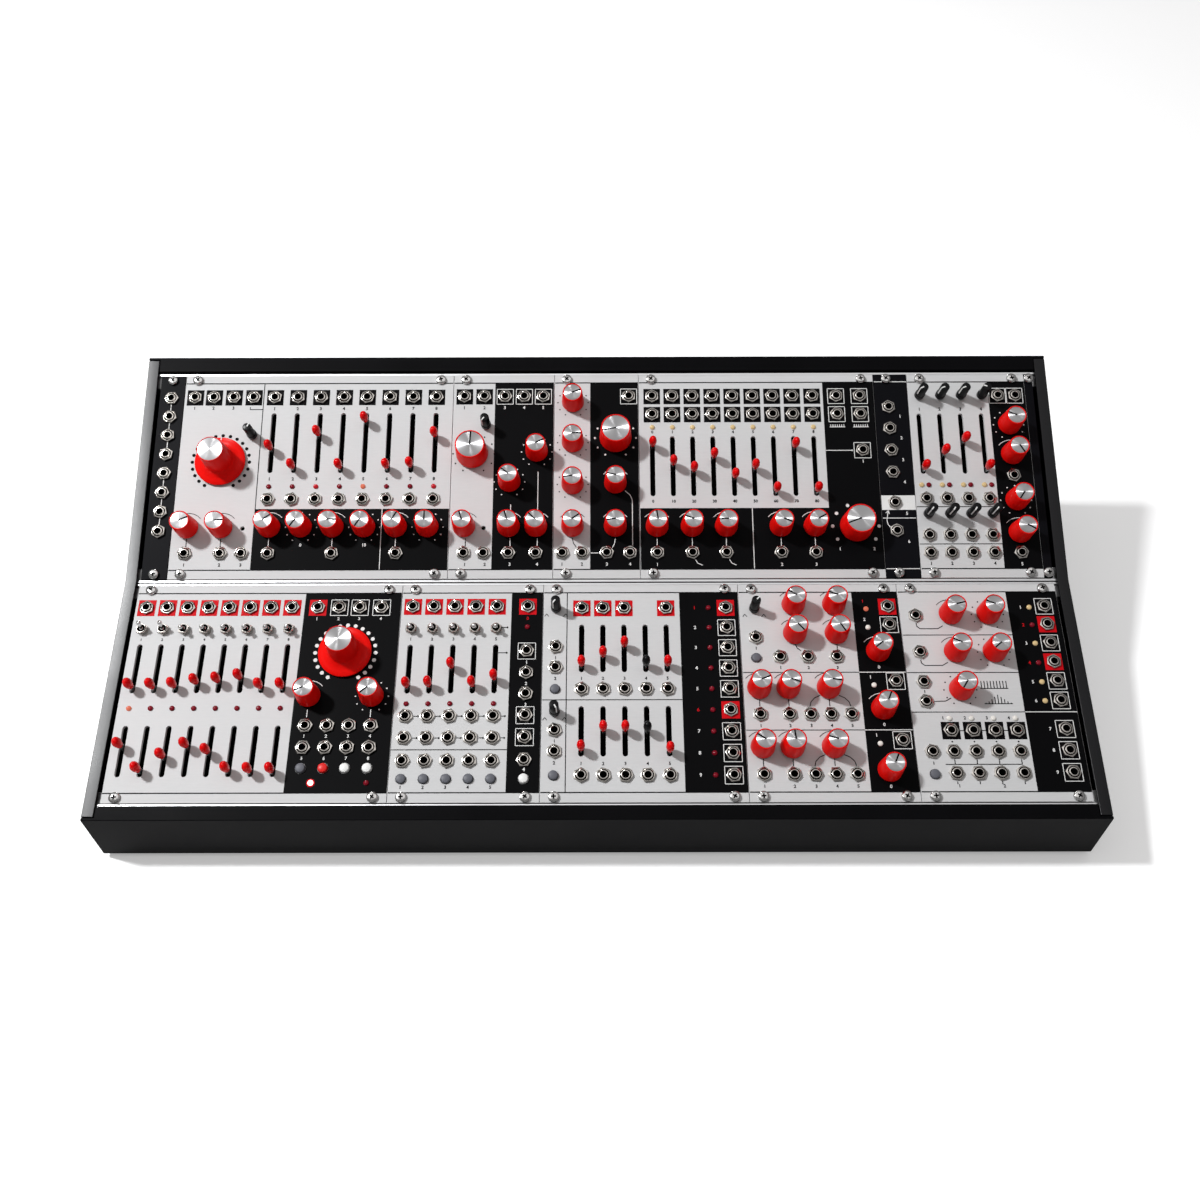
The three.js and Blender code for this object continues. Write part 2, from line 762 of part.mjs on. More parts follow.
function buildModule(spec, row, startX) {
  const width = spec.units * unitWidth;
  const place = (xShare, vShare) => [width * xShare, panelHeight * vShare];
  const body = [block([panelGap / 2, 0, -panelThickness], [width - panelGap / 2, panelHeight, 0])];
  const holes = [];
  const fixed = [];
  const loose = [];
  const behind = (low, high) =>
    body.push(block([...low, boardTop - fuse], [...high, -panelThickness + fuse]));

  if (!spec.bare) {
    const boardLowCorner = [boardMarginX, boardMarginV, boardTop - boardThickness];
    body.push(block(boardLowCorner, [width - boardMarginX, panelHeight - boardMarginV, boardTop]));
  }

  // Jacks: a nut on the panel, and a bore into the socket behind it
  const boreFloor = boardTop + blindMargin;
  function jack(x, v) {
    body.push(post(x, v, -fuse, nutHeight, nutRadius, nutRadius, hexSides));
    holes.push(post(x, v, boreFloor, nutHeight + cutOverrun, jackBoreRadius, jackBoreRadius, hexSides));
  }
  for (const [vShare, xShares] of spec.jackShares ?? []) {
    const xs = xShares.map((xShare) => width * xShare);
    const v = panelHeight * vShare;
    xs.forEach((x) => jack(x, v));
    const lowX = Math.max(Math.min(...xs) - socketHalfWidth, boardMarginX);
    const highX = Math.min(Math.max(...xs) + socketHalfWidth, width - boardMarginX);
    behind([lowX, v - socketHalfWidth], [highX, v + socketHalfWidth]);
  }
  for (const [xShare, vShares] of spec.columnShares ?? []) {
    const vs = vShares.map((vShare) => panelHeight * vShare);
    const x = width * xShare;
    vs.forEach((v) => jack(x, v));
    const lowX = Math.max(x - socketHalfWidth, boardMarginX);
    const highX = Math.min(x + socketHalfWidth, width - boardMarginX);
    behind([lowX, Math.min(...vs) - socketHalfWidth], [highX, Math.max(...vs) + socketHalfWidth]);
  }

  // Knobs: a loose one turns on a shaft in a blind hole, in a case behind the panel
  function knob(sizes, shaft, [xShare, vShare, angle, name]) {
    const [x, v] = place(xShare, vShare);
    const top = knobClearance + sizes.height;
    if (!name) {
      if (sizes.skirt) {
        fixed.push(post(x, v, -fuse, knobClearance + sizes.skirtHeight, sizes.skirt, sizes.base, fixedSides));
      }
      fixed.push(post(x, v, -fuse, top, sizes.base, sizes.top, fixedSides));
      return;
    }
    behind([x - potHalfWidth, v - potHalfWidth], [x + potHalfWidth, v + potHalfWidth]);
    const corner = (shaft + turnClearance) / Math.cos(Math.PI / shaftSides);
    holes.push(post(x, v, boreFloor, cutOverrun, corner, corner, shaftSides));
    const points = [[0, boreFloor + seatGap], [shaft, boreFloor + seatGap], [shaft, knobClearance]];
    if (sizes.skirt) {
      points.push([sizes.skirt, knobClearance], [sizes.skirt, knobClearance + sizes.skirtRim]);
      points.push([sizes.base, knobClearance + sizes.skirtHeight]);
    } else {
      points.push([sizes.base, knobClearance]);
    }
    points.push([sizes.top, top], [0, top]);
    const mark = block(
      [-pointerWidth / 2, sizes.top * pointerStartShare, top - pointerProud],
      [pointerWidth / 2, sizes.top, top + pointerProud],
    );
    const shape = turned(0, 0, points, sizes.sides).add(mark.rotate([0, 0, -angle]));
    const material = sizes === slimKnob ? blackPlastic : redPlastic;
    loose.push({ name, shape: shape.translate([x, v, 0]), material });
  }
  for (const entry of spec.largeKnobShares ?? []) knob(largeKnob, shaftRadius, entry);
  for (const entry of spec.mediumKnobShares ?? []) knob(mediumKnob, shaftRadius, entry);
  for (const entry of spec.smallKnobShares ?? []) knob(smallKnob, shaftRadius, entry);
  for (const entry of spec.slimKnobShares ?? []) knob(slimKnob, slimShaftRadius, entry);

  // Sliders: a slot into a body behind the panel, and a lever with a red cap
  const capPoints = (foot) => [
    [0, foot],
    [capFootRadius, foot],
    [capRadius, foot + capHeight * capWaistShare],
    [capTipRadius, foot + capHeight],
    [0, foot + capHeight],
  ];
  const slotFloor = -panelThickness - sliderDepth;
  for (const bank of spec.sliderShares ?? []) {
    const lowV = panelHeight * bank.low;
    const highV = panelHeight * bank.high;
    const xs = bank.places.map((xShare) => width * xShare);
    const lowX = Math.max(Math.min(...xs) - socketHalfWidth, boardMarginX);
    behind([lowX, lowV - sliderWall], [Math.max(...xs) + socketHalfWidth, highV + sliderWall]);
    xs.forEach((x, index) => {
      holes.push(block([x - slotWidth / 2, lowV, slotFloor], [x + slotWidth / 2, highV, cutOverrun]));
      const v = lowV + slotEnd + bank.travel[index] * (highV - lowV - 2 * slotEnd);
      const name = bank.names[index];
      const foot = name ? slotFloor + seatGap : slotFloor - fuse;
      const lever = block(
        [x - leverThickness / 2, v - leverWidth / 2, foot],
        [x + leverThickness / 2, v + leverWidth / 2, capFoot + fuse],
      );
      const cap = turned(x, v, capPoints(capFoot), name ? capSides : fixedCapSides);
      if (name) loose.push({ name, shape: lever.add(cap), material: redPlastic });
      else fixed.push(lever, cap);
    });
  }

  // Toggles: a round bushing with a bat lever. lean is 1 for up and -1 for down
  const pivot = bushingFloor + seatGap + toggleBall;
  for (const [xShare, vShare, lean, name] of spec.toggleShares ?? []) {
    const [x, v] = place(xShare, vShare);
    body.push(post(x, v, -fuse, bushingHeight, bushingRadius, bushingRadius, hexSides));
    const points = [
      [0, -toggleBall],
      [toggleNeck, -toggleBall * neckShare],
      [toggleNeck, bushingHeight - pivot],
      [toggleTip, toggleLength - toggleTip],
      [0, toggleLength],
    ];
    const bat = turned(0, 0, points, hexSides).rotate([-lean * toggleLean, 0, 0]).translate([x, v, pivot]);
    if (name) {
      holes.push(post(x, v, bushingFloor, bushingHeight + cutOverrun, bushingBore, bushingBore, shaftSides));
      loose.push({ name, shape: bat, material: brightMetal });
    } else fixed.push(bat);
  }

  // Buttons: a round cap that slides in a blind hole
  for (const [xShare, vShare, , name] of spec.buttonShares ?? []) {
    const [x, v] = place(xShare, vShare);
    const sides = name ? buttonSides : hexSides;
    if (!name) {
      fixed.push(post(x, v, -fuse, buttonProud, buttonRadius, buttonRadius, sides));
      continue;
    }
    const floor = -buttonReach - buttonTravel - seatGap;
    const bore = buttonRadius + buttonGap;
    behind([x - socketHalfWidth, v - socketHalfWidth], [x + socketHalfWidth, v + socketHalfWidth]);
    holes.push(post(x, v, floor, cutOverrun, bore, bore, sides));
    const shape = post(x, v, -buttonReach, buttonProud, buttonRadius, buttonRadius, sides);
    loose.push({ name, shape, material: greyPlastic });
  }

  // A ribbon, upright in the case, from the board down to its header on the bus
  let whole = cut(join(body), holes);
  if (fixed.length) whole = whole.add(join(fixed));
  const group = new THREE.Group();
  group.position.set(startX, row.y, row.z);
  group.rotation.x = row.tilt;
  if (spec.ribbon) {
    const at = row === frontRow ? frontRibbonAt : rearRibbonAt;
    const [topY, topZ] = rowPoint(row, at, boardBack + fuse);
    const corners = [
      [topY - ribbonThickness / 2, busTop + headerHeight + seatGap],
      [topY + ribbonThickness / 2, busTop + headerHeight + seatGap],
      [topY + ribbonThickness / 2, topZ],
      [topY - ribbonThickness / 2, topZ],
    ];
    const middle = width / 2;
    const outline = corners.map(([y, z]) => {
      const dy = y - row.y;
      const dz = z - row.z;
      const v = dy * Math.cos(row.tilt) + dz * Math.sin(row.tilt);
      return [v, dz * Math.cos(row.tilt) - dy * Math.sin(row.tilt)];
    });
    whole = whole.add(drawnAlongX(outline, middle - ribbonWidth / 2, middle + ribbonWidth / 2));
    ribbonPlaces.push({ x: startX + middle, y: topY });
  }
  group.add(meshOf(spec.name + "_module", whole, spec.dark ? darkPanel : palePanel));
  for (const { name, shape, material } of loose) group.add(meshOf(name, shape, material));
  return group;
}

const synthesizer = new THREE.Group();
const ribbonPlaces = [];

synthesizer.add(meshOf("case_tray", makeTray(), blackSteel));
synthesizer.add(meshOf("left_case_side", makeSide(-1), blackSteel));
synthesizer.add(meshOf("right_case_side", makeSide(1), blackSteel));

for (const [rowName, row] of [["front", frontRow], ["rear", rearRow]]) {
  const rack = new THREE.Group();
  rack.position.set(0, row.y, row.z);
  rack.rotation.x = row.tilt;
  rack.add(meshOf(rowName + "_row_lower_rail", makeRail(-1), aluminium));
  rack.add(meshOf(rowName + "_row_upper_rail", makeRail(1), aluminium));
  synthesizer.add(rack);
  let startX = -rowWidth / 2;
  for (const spec of row === frontRow ? frontModules : rearModules) {
    synthesizer.add(buildModule(spec, row, startX));
    startX += spec.units * unitWidth;
  }
}

synthesizer.add(meshOf("power_bus_board", makeBus(ribbonPlaces), boardGreen));

for (const [sideName, side] of [["left", -1], ["right", 1]]) {
  for (const [endName, y] of [["front", frontFace + footInset], ["rear", rearFace - footInset]]) {
    const foot = meshOf(`${endName}_${sideName}_foot`, makeFoot(), rubber);
    foot.position.set(side * (half - footInset), y, 0);
    synthesizer.add(foot);
  }
}

// What stands on the rear wall is built facing up, and laid down to face the rear
const entry = new THREE.Group();
entry.position.set(0, rearFace, entryZ);
entry.rotation.x = -Math.PI / 2;
const inlet = meshOf("power_inlet", makeInlet(), brightMetal);
inlet.position.x = inletPlace;
const housing = meshOf("power_switch_housing", makeSwitchHousing(), blackPlastic);
housing.position.x = switchPlace;
const rocker = meshOf("power_switch_rocker", makeRocker(), blackPlastic);
rocker.position.x = switchPlace;
rocker.rotation.x = radians(rockerRest);
entry.add(inlet, housing, rocker);
synthesizer.add(entry);

export default synthesizer;
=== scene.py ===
import bpy
import bmesh
import math
from mathutils import Matrix, Vector


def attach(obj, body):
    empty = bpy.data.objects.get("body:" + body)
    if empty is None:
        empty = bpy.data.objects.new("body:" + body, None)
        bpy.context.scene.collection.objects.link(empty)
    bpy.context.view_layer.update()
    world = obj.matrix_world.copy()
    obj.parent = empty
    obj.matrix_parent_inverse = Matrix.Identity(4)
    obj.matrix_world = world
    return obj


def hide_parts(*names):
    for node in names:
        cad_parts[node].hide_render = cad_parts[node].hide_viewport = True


# A desktop modular synthesizer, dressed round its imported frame.
# Each row is built flat in millimetres: x along it, v up its slope, n out of its panels.
# A matrix for each row then lays it on its slope, in metres.

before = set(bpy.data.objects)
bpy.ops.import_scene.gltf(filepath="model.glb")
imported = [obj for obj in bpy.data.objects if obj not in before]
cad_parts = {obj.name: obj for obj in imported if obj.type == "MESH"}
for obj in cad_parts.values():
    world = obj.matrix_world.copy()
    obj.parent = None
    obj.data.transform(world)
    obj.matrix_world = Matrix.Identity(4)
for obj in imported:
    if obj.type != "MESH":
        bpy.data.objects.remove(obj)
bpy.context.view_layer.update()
scene = bpy.context.scene
print("frame loaded,", len(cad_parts), "solids")

rowPlaces = {
    "front": {"tilt": 13.5, "y": -124.603, "z": 42.545},
    "rear": {"tilt": 23.5, "y": 4.126, "z": 73.808},
}
rack = {"unit": 5.08, "units": 104, "height": 128.5, "thickness": 2, "gap": 0.3, "edge": 0.12}
rowStart = -rack["unit"] * rack["units"] / 2
toMetres = Matrix.Scale(0.001, 4)


def turned(degrees, axis):
    return Matrix.Rotation(math.radians(degrees), 4, axis)


def rowMatrix(rowName):
    row = rowPlaces[rowName]
    return toMetres @ Matrix.Translation((rowStart, row["y"], row["z"])) @ turned(row["tilt"], "X")


# The camera and what stands round the object

photoView = {
    "place": (0.00293, -0.43127, 0.59723), "down": 51.292, "yaw": 0.137, "roll": -0.2375, "lens": 35.29,
    "sensor": 36,
}


def addCamera():
    data = bpy.data.cameras.new("photo_view")
    data.lens = photoView["lens"]
    data.sensor_width = photoView["sensor"]
    camera = bpy.data.objects.new("photo_view", data)
    scene.collection.objects.link(camera)
    turn = turned(photoView["yaw"], "Z") @ turned(90 - photoView["down"], "X")
    turn = turn @ turned(photoView["roll"], "Z")
    camera.matrix_world = Matrix.Translation(photoView["place"]) @ turn
    scene.camera = camera


addCamera()

studio = {
    "aim": (0, 0, 0.08), "world": 0.17, "floor": (0.87, 0.87, 0.87), "floorRough": 0.75, "floorGlow": 0.3,
    "floorWidth": 80, "floorDrop": 0.0002,
}
lights = {
    "key_light": {
        "place": (-1.1, 0.12, 1.7), "power": 38, "shape": "ELLIPSE", "size": (0.17, 0.17),
        "colour": (0.98, 0.99, 1),
    },
    "box_light": {
        "place": (0, 0.05, 1.6), "power": 6, "shape": "RECTANGLE", "size": (2, 1), "level": True,
        "colour": (1, 0.98, 0.975),
    },
    "overhead_light": {"place": (0.1, 0.05, 2), "power": 0.27, "spread": 110, "colour": (1, 0.965, 0.955)},
    "sheen_light": {
        "place": (-0.4, 1.3, 1), "power": 9, "shape": "ELLIPSE", "size": (0.25, 0.25), "colour": (1, 1, 1),
        "metalOnly": True,
    },
}


def addLight(name, spec):
    data = bpy.data.lights.new(name, "SUN" if "spread" in spec else "AREA")
    data.energy = spec["power"]
    data.color = spec["colour"]
    if "spread" in spec:
        data.angle = math.radians(spec["spread"])
    else:
        data.shape = spec["shape"]
        data.size, data.size_y = spec["size"]
    light = bpy.data.objects.new(name, data)
    scene.collection.objects.link(light)
    light.location = spec["place"]
    if not spec.get("level"):
        light.rotation_euler = (Vector(studio["aim"]) - light.location).to_track_quat("-Z", "Y").to_euler()
    # the sheen shows on polished metal only
    light.visible_diffuse = not spec.get("metalOnly", False)


for name, spec in lights.items():
    addLight(name, spec)

world = bpy.data.worlds.new("studio_air")
world.use_nodes = True
air = world.node_tree.nodes["Background"]
air.inputs["Color"].default_value = (1, 1, 1, 1)
air.inputs["Strength"].default_value = studio["world"]
scene.world = world
scene.view_settings.view_transform = "Standard"


# Finishes

quarterTurn = 0.25
usualFinish = {
    "metal": 0, "shine": 0.5, "coat": 0, "coatRough": 0.1, "spun": 0, "stretch": (1, 1, 1), "detail": 3,
    "drift": 25, "vary": 0.06, "toneSpan": 0.18, "roughSpread": 0.04, "roughSpan": 0.2, "relief": 0,
    "reliefDepth": 0.00005, "glow": 0,
}
shaderSockets = {
    "metal": "Metallic", "shine": "Specular IOR Level", "coat": "Coat Weight", "coatRough": "Coat Roughness",
    "spun": "Anisotropic",
}


def finish(colour, rough, grain, **more):
    return {**usualFinish, "colour": colour, "rough": rough, "grain": grain, **more}


def materialOf(name, spec):
    # colour, roughness and a fine relief, all varied by noise on the object's own coordinates
    material = bpy.data.materials.new(name)
    material.use_nodes = True
    tree = material.node_tree
    shader = tree.nodes["Principled BSDF"]
    for key, socket in shaderSockets.items():
        shader.inputs[socket].default_value = spec[key]

    def add(kind, values=None, sources=None):
        made = tree.nodes.new("ShaderNode" + kind)
        for socket, value in (values or {}).items():
            made.inputs[socket].default_value = value
        for socket, source in (sources or {}).items():
            tree.links.new(source, made.inputs[socket])
        return made

    own = add("TexCoord").outputs["Object"]
    source = own
    if spec["spun"]:
        around = add("UVMap")
        tangent = add("Tangent")
        tangent.direction_type = "UV_MAP"
        around.uv_map = tangent.uv_map = "spun"
        source = around.outputs["UV"]
        tree.links.new(tangent.outputs["Tangent"], shader.inputs["Tangent"])
        shader.inputs["Anisotropic Rotation"].default_value = quarterTurn
    stretch = add("Mapping", {"Scale": spec["stretch"]}, {"Vector": source})
    sizes = {"Scale": spec["grain"], "Detail": spec["detail"]}
    grain = add("TexNoise", sizes, {"Vector": stretch.outputs["Vector"]}).outputs["Fac"]
    drift = add("TexNoise", {"Scale": spec["drift"]}, {"Vector": own}).outputs["Fac"]
    # the mean of the fine noise and the coarse one
    half = add("Math", {1: 0.5}, {0: drift})
    half.operation = "MULTIPLY"
    mean = add("Math", {1: 0.5}, {0: grain, 2: half.outputs["Value"]})
    mean.operation = "MULTIPLY_ADD"
    tones = add("ValToRGB", None, {"Fac": mean.outputs["Value"]})
    for end, side in zip(tones.color_ramp.elements, (-1, 1)):
        end.position = 0.5 + side * spec["toneSpan"]
        end.color = (*[min(1, tone * (1 + side * spec["vary"])) for tone in spec["colour"]], 1)
    span, spread = spec["roughSpan"], spec["roughSpread"]
    ranges = {
        "From Min": 0.5 - span, "From Max": 0.5 + span, "To Min": spec["rough"] - spread,
        "To Max": spec["rough"] + spread,
    }
    rough = add("MapRange", ranges, {"Value": mean.outputs["Value"]})
    tree.links.new(tones.outputs["Color"], shader.inputs["Base Color"])
    tree.links.new(rough.outputs["Result"], shader.inputs["Roughness"])
    if spec["relief"]:
        bump = add("Bump", {"Strength": spec["relief"], "Distance": spec["reliefDepth"]}, {"Height": grain})
        tree.links.new(bump.outputs["Normal"], shader.inputs["Normal"])
    if spec["glow"]:
        shader.inputs["Emission Color"].default_value = (*spec["glowColour"], 1)
        shader.inputs["Emission Strength"].default_value = spec["glow"]
    return material


finishSpecs = {
    "powderCoat": finish(
        (0.0025, 0.0025, 0.003), 0.42, 1500, roughSpread=0.06, relief=0.3, shine=0.022, vary=0.3,
    ),
    # a lighter, glossier copy of the black coat for the lips' upward faces: painted sheen
    "paintedSheenCoat": finish((0.0035, 0.0035, 0.0045), 0.3, 1500, relief=0.2, shine=0.2, vary=0.3),
    "railAluminium": finish((0.6, 0.605, 0.615), 0.34, 300, metal=1, stretch=(0.04, 4, 4), relief=0.15),
    "lightPanel": finish(
        (0.52, 0.52, 0.522), 0.45, 700, stretch=(0.25, 2, 1), relief=0.08, shine=0.1, vary=0.035,
    ),
    "darkPanel": finish((0.0035, 0.0035, 0.0048), 0.45, 1200, relief=0.1, shine=0.03, vary=0.2),
    "blackPrint": finish((0.002, 0.002, 0.0024), 0.5, 1500, relief=0.08, shine=0.03, vary=0.2),
    "whitePrint": finish((0.66, 0.66, 0.65), 0.55, 1500, shine=0.2),
    "redPrint": finish((0.5, 0.003, 0.007), 0.5, 1500, shine=0.06, vary=0.1),
    "redPlastic": finish((0.72, 0.005, 0.0035), 0.34, 900, relief=0.06, shine=0.08, vary=0.05),
    "capPlastic": finish((0.6, 0.002, 0.003), 0.17, 1200, relief=0.03, shine=0.12, vary=0.08),
    "blackPlastic": finish((0.003, 0.0032, 0.0038), 0.3, 1400, relief=0.06, shine=0.12, vary=0.2),
    "greyPlastic": finish((0.1, 0.103, 0.12), 0.45, 1400, relief=0.08, shine=0.25),
    "whitePlastic": finish((0.7, 0.7, 0.69), 0.35, 1400, relief=0.05, vary=0.02),
    "redButton": finish((0.6, 0.012, 0.01), 0.35, 1400, relief=0.05, shine=0.2),
    "spunTop": finish(
        (0.5, 0.5, 0.51), 0.37, 6, metal=1, spun=1, stretch=(0, 12, 1), relief=0.08, reliefDepth=0.00002,
        vary=0.08,
    ),
    "nickel": finish((0.5, 0.475, 0.445), 0.16, 1100, metal=1, relief=0.05, vary=0.08),
    "chrome": finish((0.72, 0.72, 0.72), 0.1, 900, metal=1, vary=0.03),
    "screwSteel": finish((0.5, 0.495, 0.49), 0.17, 1300, metal=1, relief=0.08),
    "leverSteel": finish((0.7, 0.7, 0.7), 0.3, 900, metal=1, stretch=(4, 0.3, 4)),
    # near-black for bores, wells and slider bodies, and painted shade in the jack grooves and screw recesses
    "darkBoreAndPaintedShade": finish((0.0015, 0.0015, 0.0015), 0.6, 900, shine=0.03),
    "boardMask": finish((0.012, 0.07, 0.03), 0.38, 500, relief=0.1, coat=0.3, vary=0.25),
    "ribbonGrey": finish((0.2, 0.2, 0.21), 0.5, 900, stretch=(1, 1, 0.1), relief=0.1),
    "footRubber": finish((0.012, 0.012, 0.012), 0.8, 1800, relief=0.4, shine=0.3, vary=0.2),
}
lampSpecs = {
    "lampDark": {"colour": (0.17, 0.004, 0.012)},
    "lampRed": {"colour": (0.32, 0.008, 0.014), "glow": 0.12, "glowColour": (1, 0.04, 0.06)},
    "lampOrange": {"colour": (0.28, 0.07, 0.04), "glow": 0.36, "glowColour": (1, 0.25, 0.15)},
    "lampYellow": {"colour": (0.42, 0.31, 0.14), "glow": 0.18, "glowColour": (1, 0.75, 0.45)},
    "lampWhite": {"colour": (0.6, 0.58, 0.54), "glow": 0.1, "glowColour": (1, 0.98, 0.92)},
    "lampLit": {"colour": (0.8, 0.7, 0.65), "glow": 3, "glowColour": (1, 0.85, 0.8)},
}
for name, spec in lampSpecs.items():
    finishSpecs[name] = finish(rough=0.16, grain=1500, shine=0.16, vary=0.15, **spec)
finishes = {name: materialOf(name, spec) for name, spec in finishSpecs.items()}
print("finishes made:", len(finishes))


# Shapes are small meshes in millimetres that are stamped into pieces

weld = 0.0005


def meshOf(bm, name):
    mesh = bpy.data.meshes.new(name)
    bm.to_mesh(mesh)
    bm.free()
    return mesh


def asMesh(bm, name):
    bmesh.ops.recalc_face_normals(bm, faces=bm.faces[:])
    return meshOf(bm, name)


def stamp(bm, mesh, place=None, look=None):
    firstVert = len(bm.verts)
    firstFace = len(bm.faces)
    bm.from_mesh(mesh)
    if place is not None:
        bmesh.ops.transform(bm, matrix=place, verts=bm.verts[firstVert:])
    if look is not None:
        for face in bm.faces[firstFace:]:
            face.material_index = look


def joined(name, *meshes):
    bm = bmesh.new()
    for mesh in meshes:
        stamp(bm, mesh)
    return meshOf(bm, name)


def at(x, v, n=0, turn=0, lean=0):
    return Matrix.Translation((x, v, n)) @ turned(-turn, "Z") @ turned(-lean, "X")


def newParts(result, kind):
    # the new parts of one kind that an operator gives back
    return [item for item in result["geom"] if isinstance(item, kind)]


def openEdges(bm):
    return [edge for edge in bm.edges if edge.is_boundary]


def topFace(bm):
    return max(bm.faces, key=lambda face: face.calc_center_median().z)


def setRadius(vert, radius):
    share = radius / Vector(vert.co[:2]).length
    vert.co.x *= share
    vert.co.y *= share


def blockMesh(name, low, high, bevel=0):
    bm = bmesh.new()
    middle = [(a + b) / 2 for a, b in zip(low, high)]
    size = [b - a for a, b in zip(low, high)]
    bmesh.ops.create_cube(bm, size=1, matrix=Matrix.Translation(middle) @ Matrix.Diagonal((*size, 1)))
    if bevel:
        bmesh.ops.bevel(
            bm, geom=bm.edges[:], offset=bevel, segments=1, profile=0.5, affect="EDGES", material=-1,
        )
    return asMesh(bm, name)


def hexagon(radius, low, high):
    bm = bmesh.new()
    bmesh.ops.create_cone(
        bm, cap_ends=True, segments=6, radius1=radius, radius2=radius, depth=high - low,
        matrix=Matrix.Translation((0, 0, (low + high) / 2)),
    )
    return bm


def spin(points, steps):
    # a profile of (radius, height), turned round the upright axis
    bm = bmesh.new()
    verts = [bm.verts.new((radius, 0, height)) for radius, height in points]
    for first, second in zip(verts, verts[1:]):
        bm.edges.new((first, second))
    bmesh.ops.spin(
        bm, geom=bm.verts[:] + bm.edges[:], cent=(0, 0, 0), axis=(0, 0, 1), angle=math.tau, steps=steps,
        use_merge=True,
    )
    bmesh.ops.remove_doubles(bm, verts=bm.verts[:], dist=weld)
    return bm


def spunMesh(name, points, steps, looks=None):
    # looks gives each stretch of the profile its finish
    bm = spin(points, steps)
    if looks:
        stretches = [((a[0] + b[0]) / 2, (a[1] + b[1]) / 2) for a, b in zip(points, points[1:])]
        for face in bm.faces:
            middle = face.calc_center_bounds()
            reaches = [Vector(vert.co[:2]).length for vert in face.verts]
            radius = (max(reaches) + min(reaches)) / 2
            gaps = [abs(radius - r) + abs(middle.z - h) for r, h in stretches]
            face.material_index = looks[gaps.index(min(gaps))]
    return asMesh(bm, name)


def solidFromCurve(name, curve, lift):
    holder = bpy.data.objects.new(name, curve)
    scene.collection.objects.link(holder)
    bpy.context.view_layer.update()
    mesh = bpy.data.meshes.new_from_object(holder.evaluated_get(bpy.context.evaluated_depsgraph_get()))
    bpy.data.objects.remove(holder)
    mesh.transform(Matrix.Translation((0, 0, lift)))
    bm = bmesh.new()
    bm.from_mesh(mesh)
    bmesh.ops.remove_doubles(bm, verts=bm.verts[:], dist=weld)
    return asMesh(bm, name)


def flatMesh(name, outlines, low, high, edge=0):
    # closed outlines of (x, v), holes among them, filled between two heights, with a chamfer if wanted
    curve = bpy.data.curves.new(name, "CURVE")
    curve.dimensions = "2D"
    curve.fill_mode = "BOTH"
    curve.extrude = (high - low) / 2 - edge
    curve.bevel_depth = edge
    curve.bevel_resolution = 0
    curve.offset = -edge
    for points in outlines:
        spline = curve.splines.new("POLY")
        spline.points.add(len(points) - 1)
        for point, (x, v) in zip(spline.points, points):
            point.co = (x, v, 0, 1)
        spline.use_cyclic_u = True
    return solidFromCurve(name, curve, (low + high) / 2)


figure = {"size": 1.4, "thick": 0.04, "bold": 0.035}


def numberMesh(text, height):
    letters = bpy.data.curves.new("number_" + text, "FONT")
    letters.body = text
    letters.size = height * figure["size"]
    letters.align_x = "CENTER"
    letters.align_y = "CENTER"
    letters.extrude = figure["thick"]
    letters.offset = figure["bold"] * height
    letters.resolution_u = 2
    return solidFromCurve("number_" + text, letters, figure["thick"])


def circle(x, v, radius, sides=14):
    turns = [math.tau * step / sides for step in range(sides)]
    return [(x + radius * math.cos(turn), v + radius * math.sin(turn)) for turn in turns]


def slotOutline(x, low, high, width):
    reach, sides = width / 2, 6
    turns = [math.pi * step / sides for step in range(sides + 1)]
    upper = [(x + reach * math.cos(turn), high - reach + reach * math.sin(turn)) for turn in turns]
    lower = [(x - reach * math.cos(turn), low + reach - reach * math.sin(turn)) for turn in turns]
    return upper + lower


def box(x0, x1, v0, v1):
    return [(x0, v0), (x1, v0), (x1, v1), (x0, v1)]


def finishPiece(name, bm, looks, body, place, replaced, soften):
    if place is not None:
        bmesh.ops.transform(bm, matrix=place, verts=bm.verts[:])
    mesh = meshOf(bm, name)
    for look in looks:
        mesh.materials.append(finishes[look])
    mesh.shade_smooth()
    mesh.set_sharp_from_angle(angle=math.radians(soften))
    piece = bpy.data.objects.new(name, mesh)
    scene.collection.objects.link(piece)
    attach(piece, body)
    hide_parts(replaced)
    return piece


# Knobs

knobSizes = {
    "large": {
        "base": 8.6, "top": 7.7, "height": 20, "disc": 7.1, "skirt": 15, "skirtHeight": 5, "rim": 1.4,
        "steps": 48, "flare": ((12.6, 0.7), (10.4, 1.7), (9.2, 2.9)),
        "mark": ((-0.3, 12.9, 2.2), (0.3, 14.9, 3)),
    },
    "medium": {"base": 9.6, "top": 8.7, "height": 14.5, "disc": 7.9, "steps": 40},
    "small": {"base": 6.7, "top": 5.8, "height": 14, "disc": 5.05, "steps": 32},
    "slim": {"base": 3, "top": 2.6, "height": 12.5, "steps": 20, "shaft": 1.6},
}
knobLift = 1
knobShaft = {"radius": 3, "low": -9.5, "high": 1.2, "edge": 0.2, "steps": 16}
knobLooks = ["redPlastic", "spunTop", "blackPlastic", "leverSteel", "whitePrint", "blackPrint"]
disc = {"shares": (0.02, 0.36, 0.7, 0.94, 1), "heights": (0.12, 0.11, 0.08, 0.03, -0.12)}


def discMesh(radius, steps):
    # a turned metal face, with a map that runs round it and out from its middle
    bm = spin([(radius * share, height) for share, height in zip(disc["shares"], disc["heights"])], steps)
    bmesh.ops.holes_fill(bm, edges=openEdges(bm), sides=steps)
    spun = bm.loops.layers.uv.new("spun")
    for face in bm.faces:
        middle = face.calc_center_median()
        heading = math.atan2(middle.y, middle.x)
        for loop in face.loops:
            x, y = loop.vert.co.x, loop.vert.co.y
            off = (math.atan2(y, x) - heading + math.pi) % math.tau - math.pi
            loop[spun].uv = ((heading + off) / math.tau, math.hypot(x, y) / radius)
    return asMesh(bm, "spun_disc")


